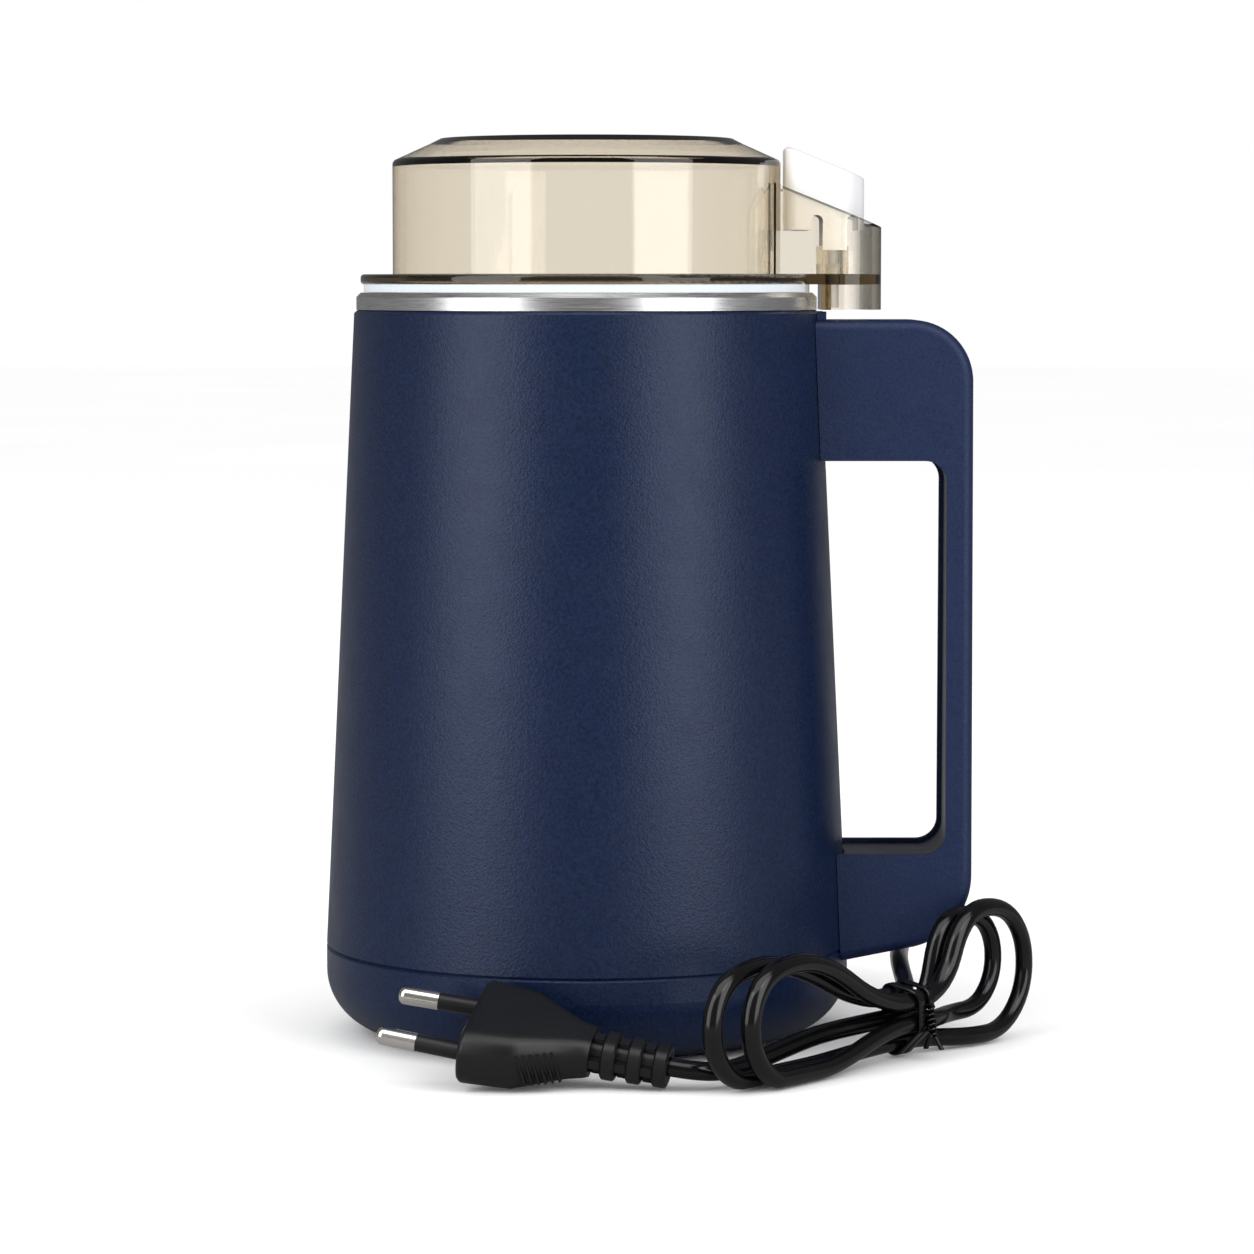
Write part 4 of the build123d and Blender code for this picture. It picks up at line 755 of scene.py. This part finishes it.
def plug_skin(points, faces):
    """The plug's grip, from its face to its neck, and the core of the strain relief."""
    taper_width = PLUG_WIDTH * PLUG_TAPER
    plug_run(points, faces, (
        (0, PLUG_WIDTH - 2.4, PLUG_THICK - 2.4),
        (-0.2, PLUG_WIDTH - 1.2, PLUG_THICK - 1.2),
        (-0.7, PLUG_WIDTH - 0.3, PLUG_THICK - 0.3),
        (-1.3, PLUG_WIDTH, PLUG_THICK),
        (-PLUG_SHOULDER + 1.5, taper_width + 0.3, PLUG_THICK),
        (-PLUG_SHOULDER, taper_width - 0.4, PLUG_THICK - 0.1),
        (-PLUG_SHOULDER - 1.5, taper_width - 2.2, PLUG_THICK - 0.4),
        (-PLUG_NECK + 7.0, PLUG_NECK_WIDTH + 6.0, PLUG_NECK_THICK + 1.4),
        (-PLUG_NECK + 4.5, PLUG_NECK_WIDTH + 3.2, PLUG_NECK_THICK + 0.7),
        (-PLUG_NECK + 2.4, PLUG_NECK_WIDTH + 1.5, PLUG_NECK_THICK + 0.3),
        (-PLUG_NECK + 1.0, PLUG_NECK_WIDTH + 0.6, PLUG_NECK_THICK + 0.1),
        (-PLUG_NECK, PLUG_NECK_WIDTH - 0.4, PLUG_NECK_THICK - 0.4),
    ))
    core = 2 * PLUG_CORE_R
    plug_run(points, faces, ((-PLUG_NECK + 1, core, core), (-PLUG_LENGTH, core, core)))


def plug_relief(points, faces):
    """Rings of the strain relief, and the bridges that leave windows between them."""
    pitch = (PLUG_LENGTH - PLUG_NECK) / PLUG_RIBS
    long = pitch * PLUG_RIB_SHARE
    for i in range(PLUG_RIBS):
        share = (i + 1) / PLUG_RIBS
        width = PLUG_NECK_WIDTH + share * (PLUG_TIP_WIDTH - PLUG_NECK_WIDTH)
        thick = PLUG_NECK_THICK + share * (PLUG_TIP_WIDTH - PLUG_NECK_THICK)
        low = -PLUG_NECK - pitch * (i + 1)
        plug_run(points, faces, (
            (low, width - 0.8, thick - 0.8),
            (low + 0.4, width, thick),
            (low + long - 0.4, width, thick),
            (low + long, width - 0.8, thick - 0.8),
        ))
        gap = low + long + (pitch - long) / 2
        plug_block(points, faces, (0, 0, gap), (2.4, thick - 0.5, pitch - long + 1))
        plug_block(points, faces, (0, 0, gap), (width - 0.5, 2.0, pitch - long + 1))


def plug_grip(points, faces):
    """Ridges for the fingers on both narrow sides, where the plug tapers."""
    size = (GRIP_HEIGHT, GRIP_LONG, GRIP_WIDE)
    for side in (1, -1):
        for i in range(GRIP_RIDGES):
            down = GRIP_START + GRIP_PITCH * i
            half = PLUG_WIDTH * PLUG_TAPER / 2 - GRIP_FALL * down
            middle = (side * (half - GRIP_SUNK), 0, -PLUG_SHOULDER - down)
            plug_block(points, faces, middle, size, math.radians(GRIP_LEAN_DEG))


def make_plug():
    points = []
    faces = []
    plug_skin(points, faces)
    plug_relief(points, faces)
    plug_grip(points, faces)
    return mesh_piece("plug_shell", points, faces, "body", "plug_body", "plug_black", 32)


twist_tie = make_tie()
plug_shell = make_plug()


# Stage and light

def dim_when_mirrored(tree, bright, dim, output):
    """Send the bright shader to an output, and the dim one where a glossy surface mirrors it."""
    path = tree.nodes.new("ShaderNodeLightPath")
    mirrored = tree.nodes.new("ShaderNodeMath")
    mirrored.operation = "SUBTRACT"
    mirrored.use_clamp = True
    tree.links.new(path.outputs["Is Glossy Ray"], mirrored.inputs[0])
    tree.links.new(path.outputs["Is Transmission Ray"], mirrored.inputs[1])
    mix = tree.nodes.new("ShaderNodeMixShader")
    tree.links.new(mirrored.outputs["Value"], mix.inputs["Fac"])
    tree.links.new(bright, mix.inputs[1])
    tree.links.new(dim, mix.inputs[2])
    tree.links.new(mix.outputs["Shader"], output)


def make_floor():
    mesh = bpy.data.meshes.new("floor")
    front = FLOOR_FRONT
    back = 2 * FLOOR_HALF
    corners = [(-FLOOR_HALF, front, 0), (FLOOR_HALF, front, 0), (FLOOR_HALF, back, 0), (-FLOOR_HALF, back, 0)]
    mesh.from_pydata(corners, [], [(0, 1, 2, 3)])
    floor = link(bpy.data.objects.new("floor", mesh))
    material, tree, shader = new_material("floor")
    tinted(tree, shader, noise(tree, place_of(tree), 2.0), (0.97, 0.97, 0.97), (0.99, 0.99, 0.99))
    shader.inputs["Roughness"].default_value = 0.9
    shader.inputs["Specular IOR Level"].default_value = 0.0
    dim = tree.nodes.new("ShaderNodeBsdfDiffuse")
    dim.inputs["Color"].default_value = FLOOR_MIRRORED
    output = tree.nodes["Material Output"].inputs["Surface"]
    dim_when_mirrored(tree, shader.outputs["BSDF"], dim.outputs["BSDF"], output)
    mesh.materials.append(material)


def make_light(name, azimuth_deg, distance, height, width, tall, radiance, aim_z=0.1):
    """Soft panel that faces the object; azimuth 0 is the camera's side, + is to the right."""
    data = bpy.data.lights.new(name, "AREA")
    data.shape = "RECTANGLE"
    data.size = width
    data.size_y = tall
    data.energy = radiance * math.pi * width * tall
    light = link(bpy.data.objects.new(name, data))
    angle = math.radians(azimuth_deg)
    light.location = (distance * math.sin(angle), -distance * math.cos(angle), height)
    aim = Vector((0, 0, aim_z)) - light.location
    light.rotation_euler = aim.to_track_quat("-Z", "Y").to_euler()
    return light


def make_world():
    """An even white tent, which mirror-like reflections see as a dim studio."""
    world = bpy.data.worlds.new("studio")
    world.use_nodes = True
    tree = world.node_tree
    bpy.context.scene.world = world
    output = tree.nodes["World Output"]
    dim = tree.nodes["Background"]
    dim.inputs["Color"].default_value = STUDIO_MIRRORED
    white = tree.nodes.new("ShaderNodeBackground")
    white.inputs["Color"].default_value = (1, 1, 1, 1)
    dim_when_mirrored(tree, white.outputs["Background"], dim.outputs["Background"], output.inputs["Surface"])


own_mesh(NODES["button_spring"])
make_floor()
make_world()
make_light("left_panel", azimuth_deg=-51, distance=1.2, height=0.5, width=0.9, tall=1.5, radiance=2.8)
make_light("right_panel", azimuth_deg=46, distance=1.2, height=0.5, width=0.86, tall=1.5, radiance=2.8)
top_panel = make_light(
    "top_panel", azimuth_deg=0, distance=0.5, height=1.1, width=1.4, tall=0.8, radiance=2.2,
)
top_panel.visible_diffuse = False
bpy.context.scene.view_settings.view_transform = "Standard"
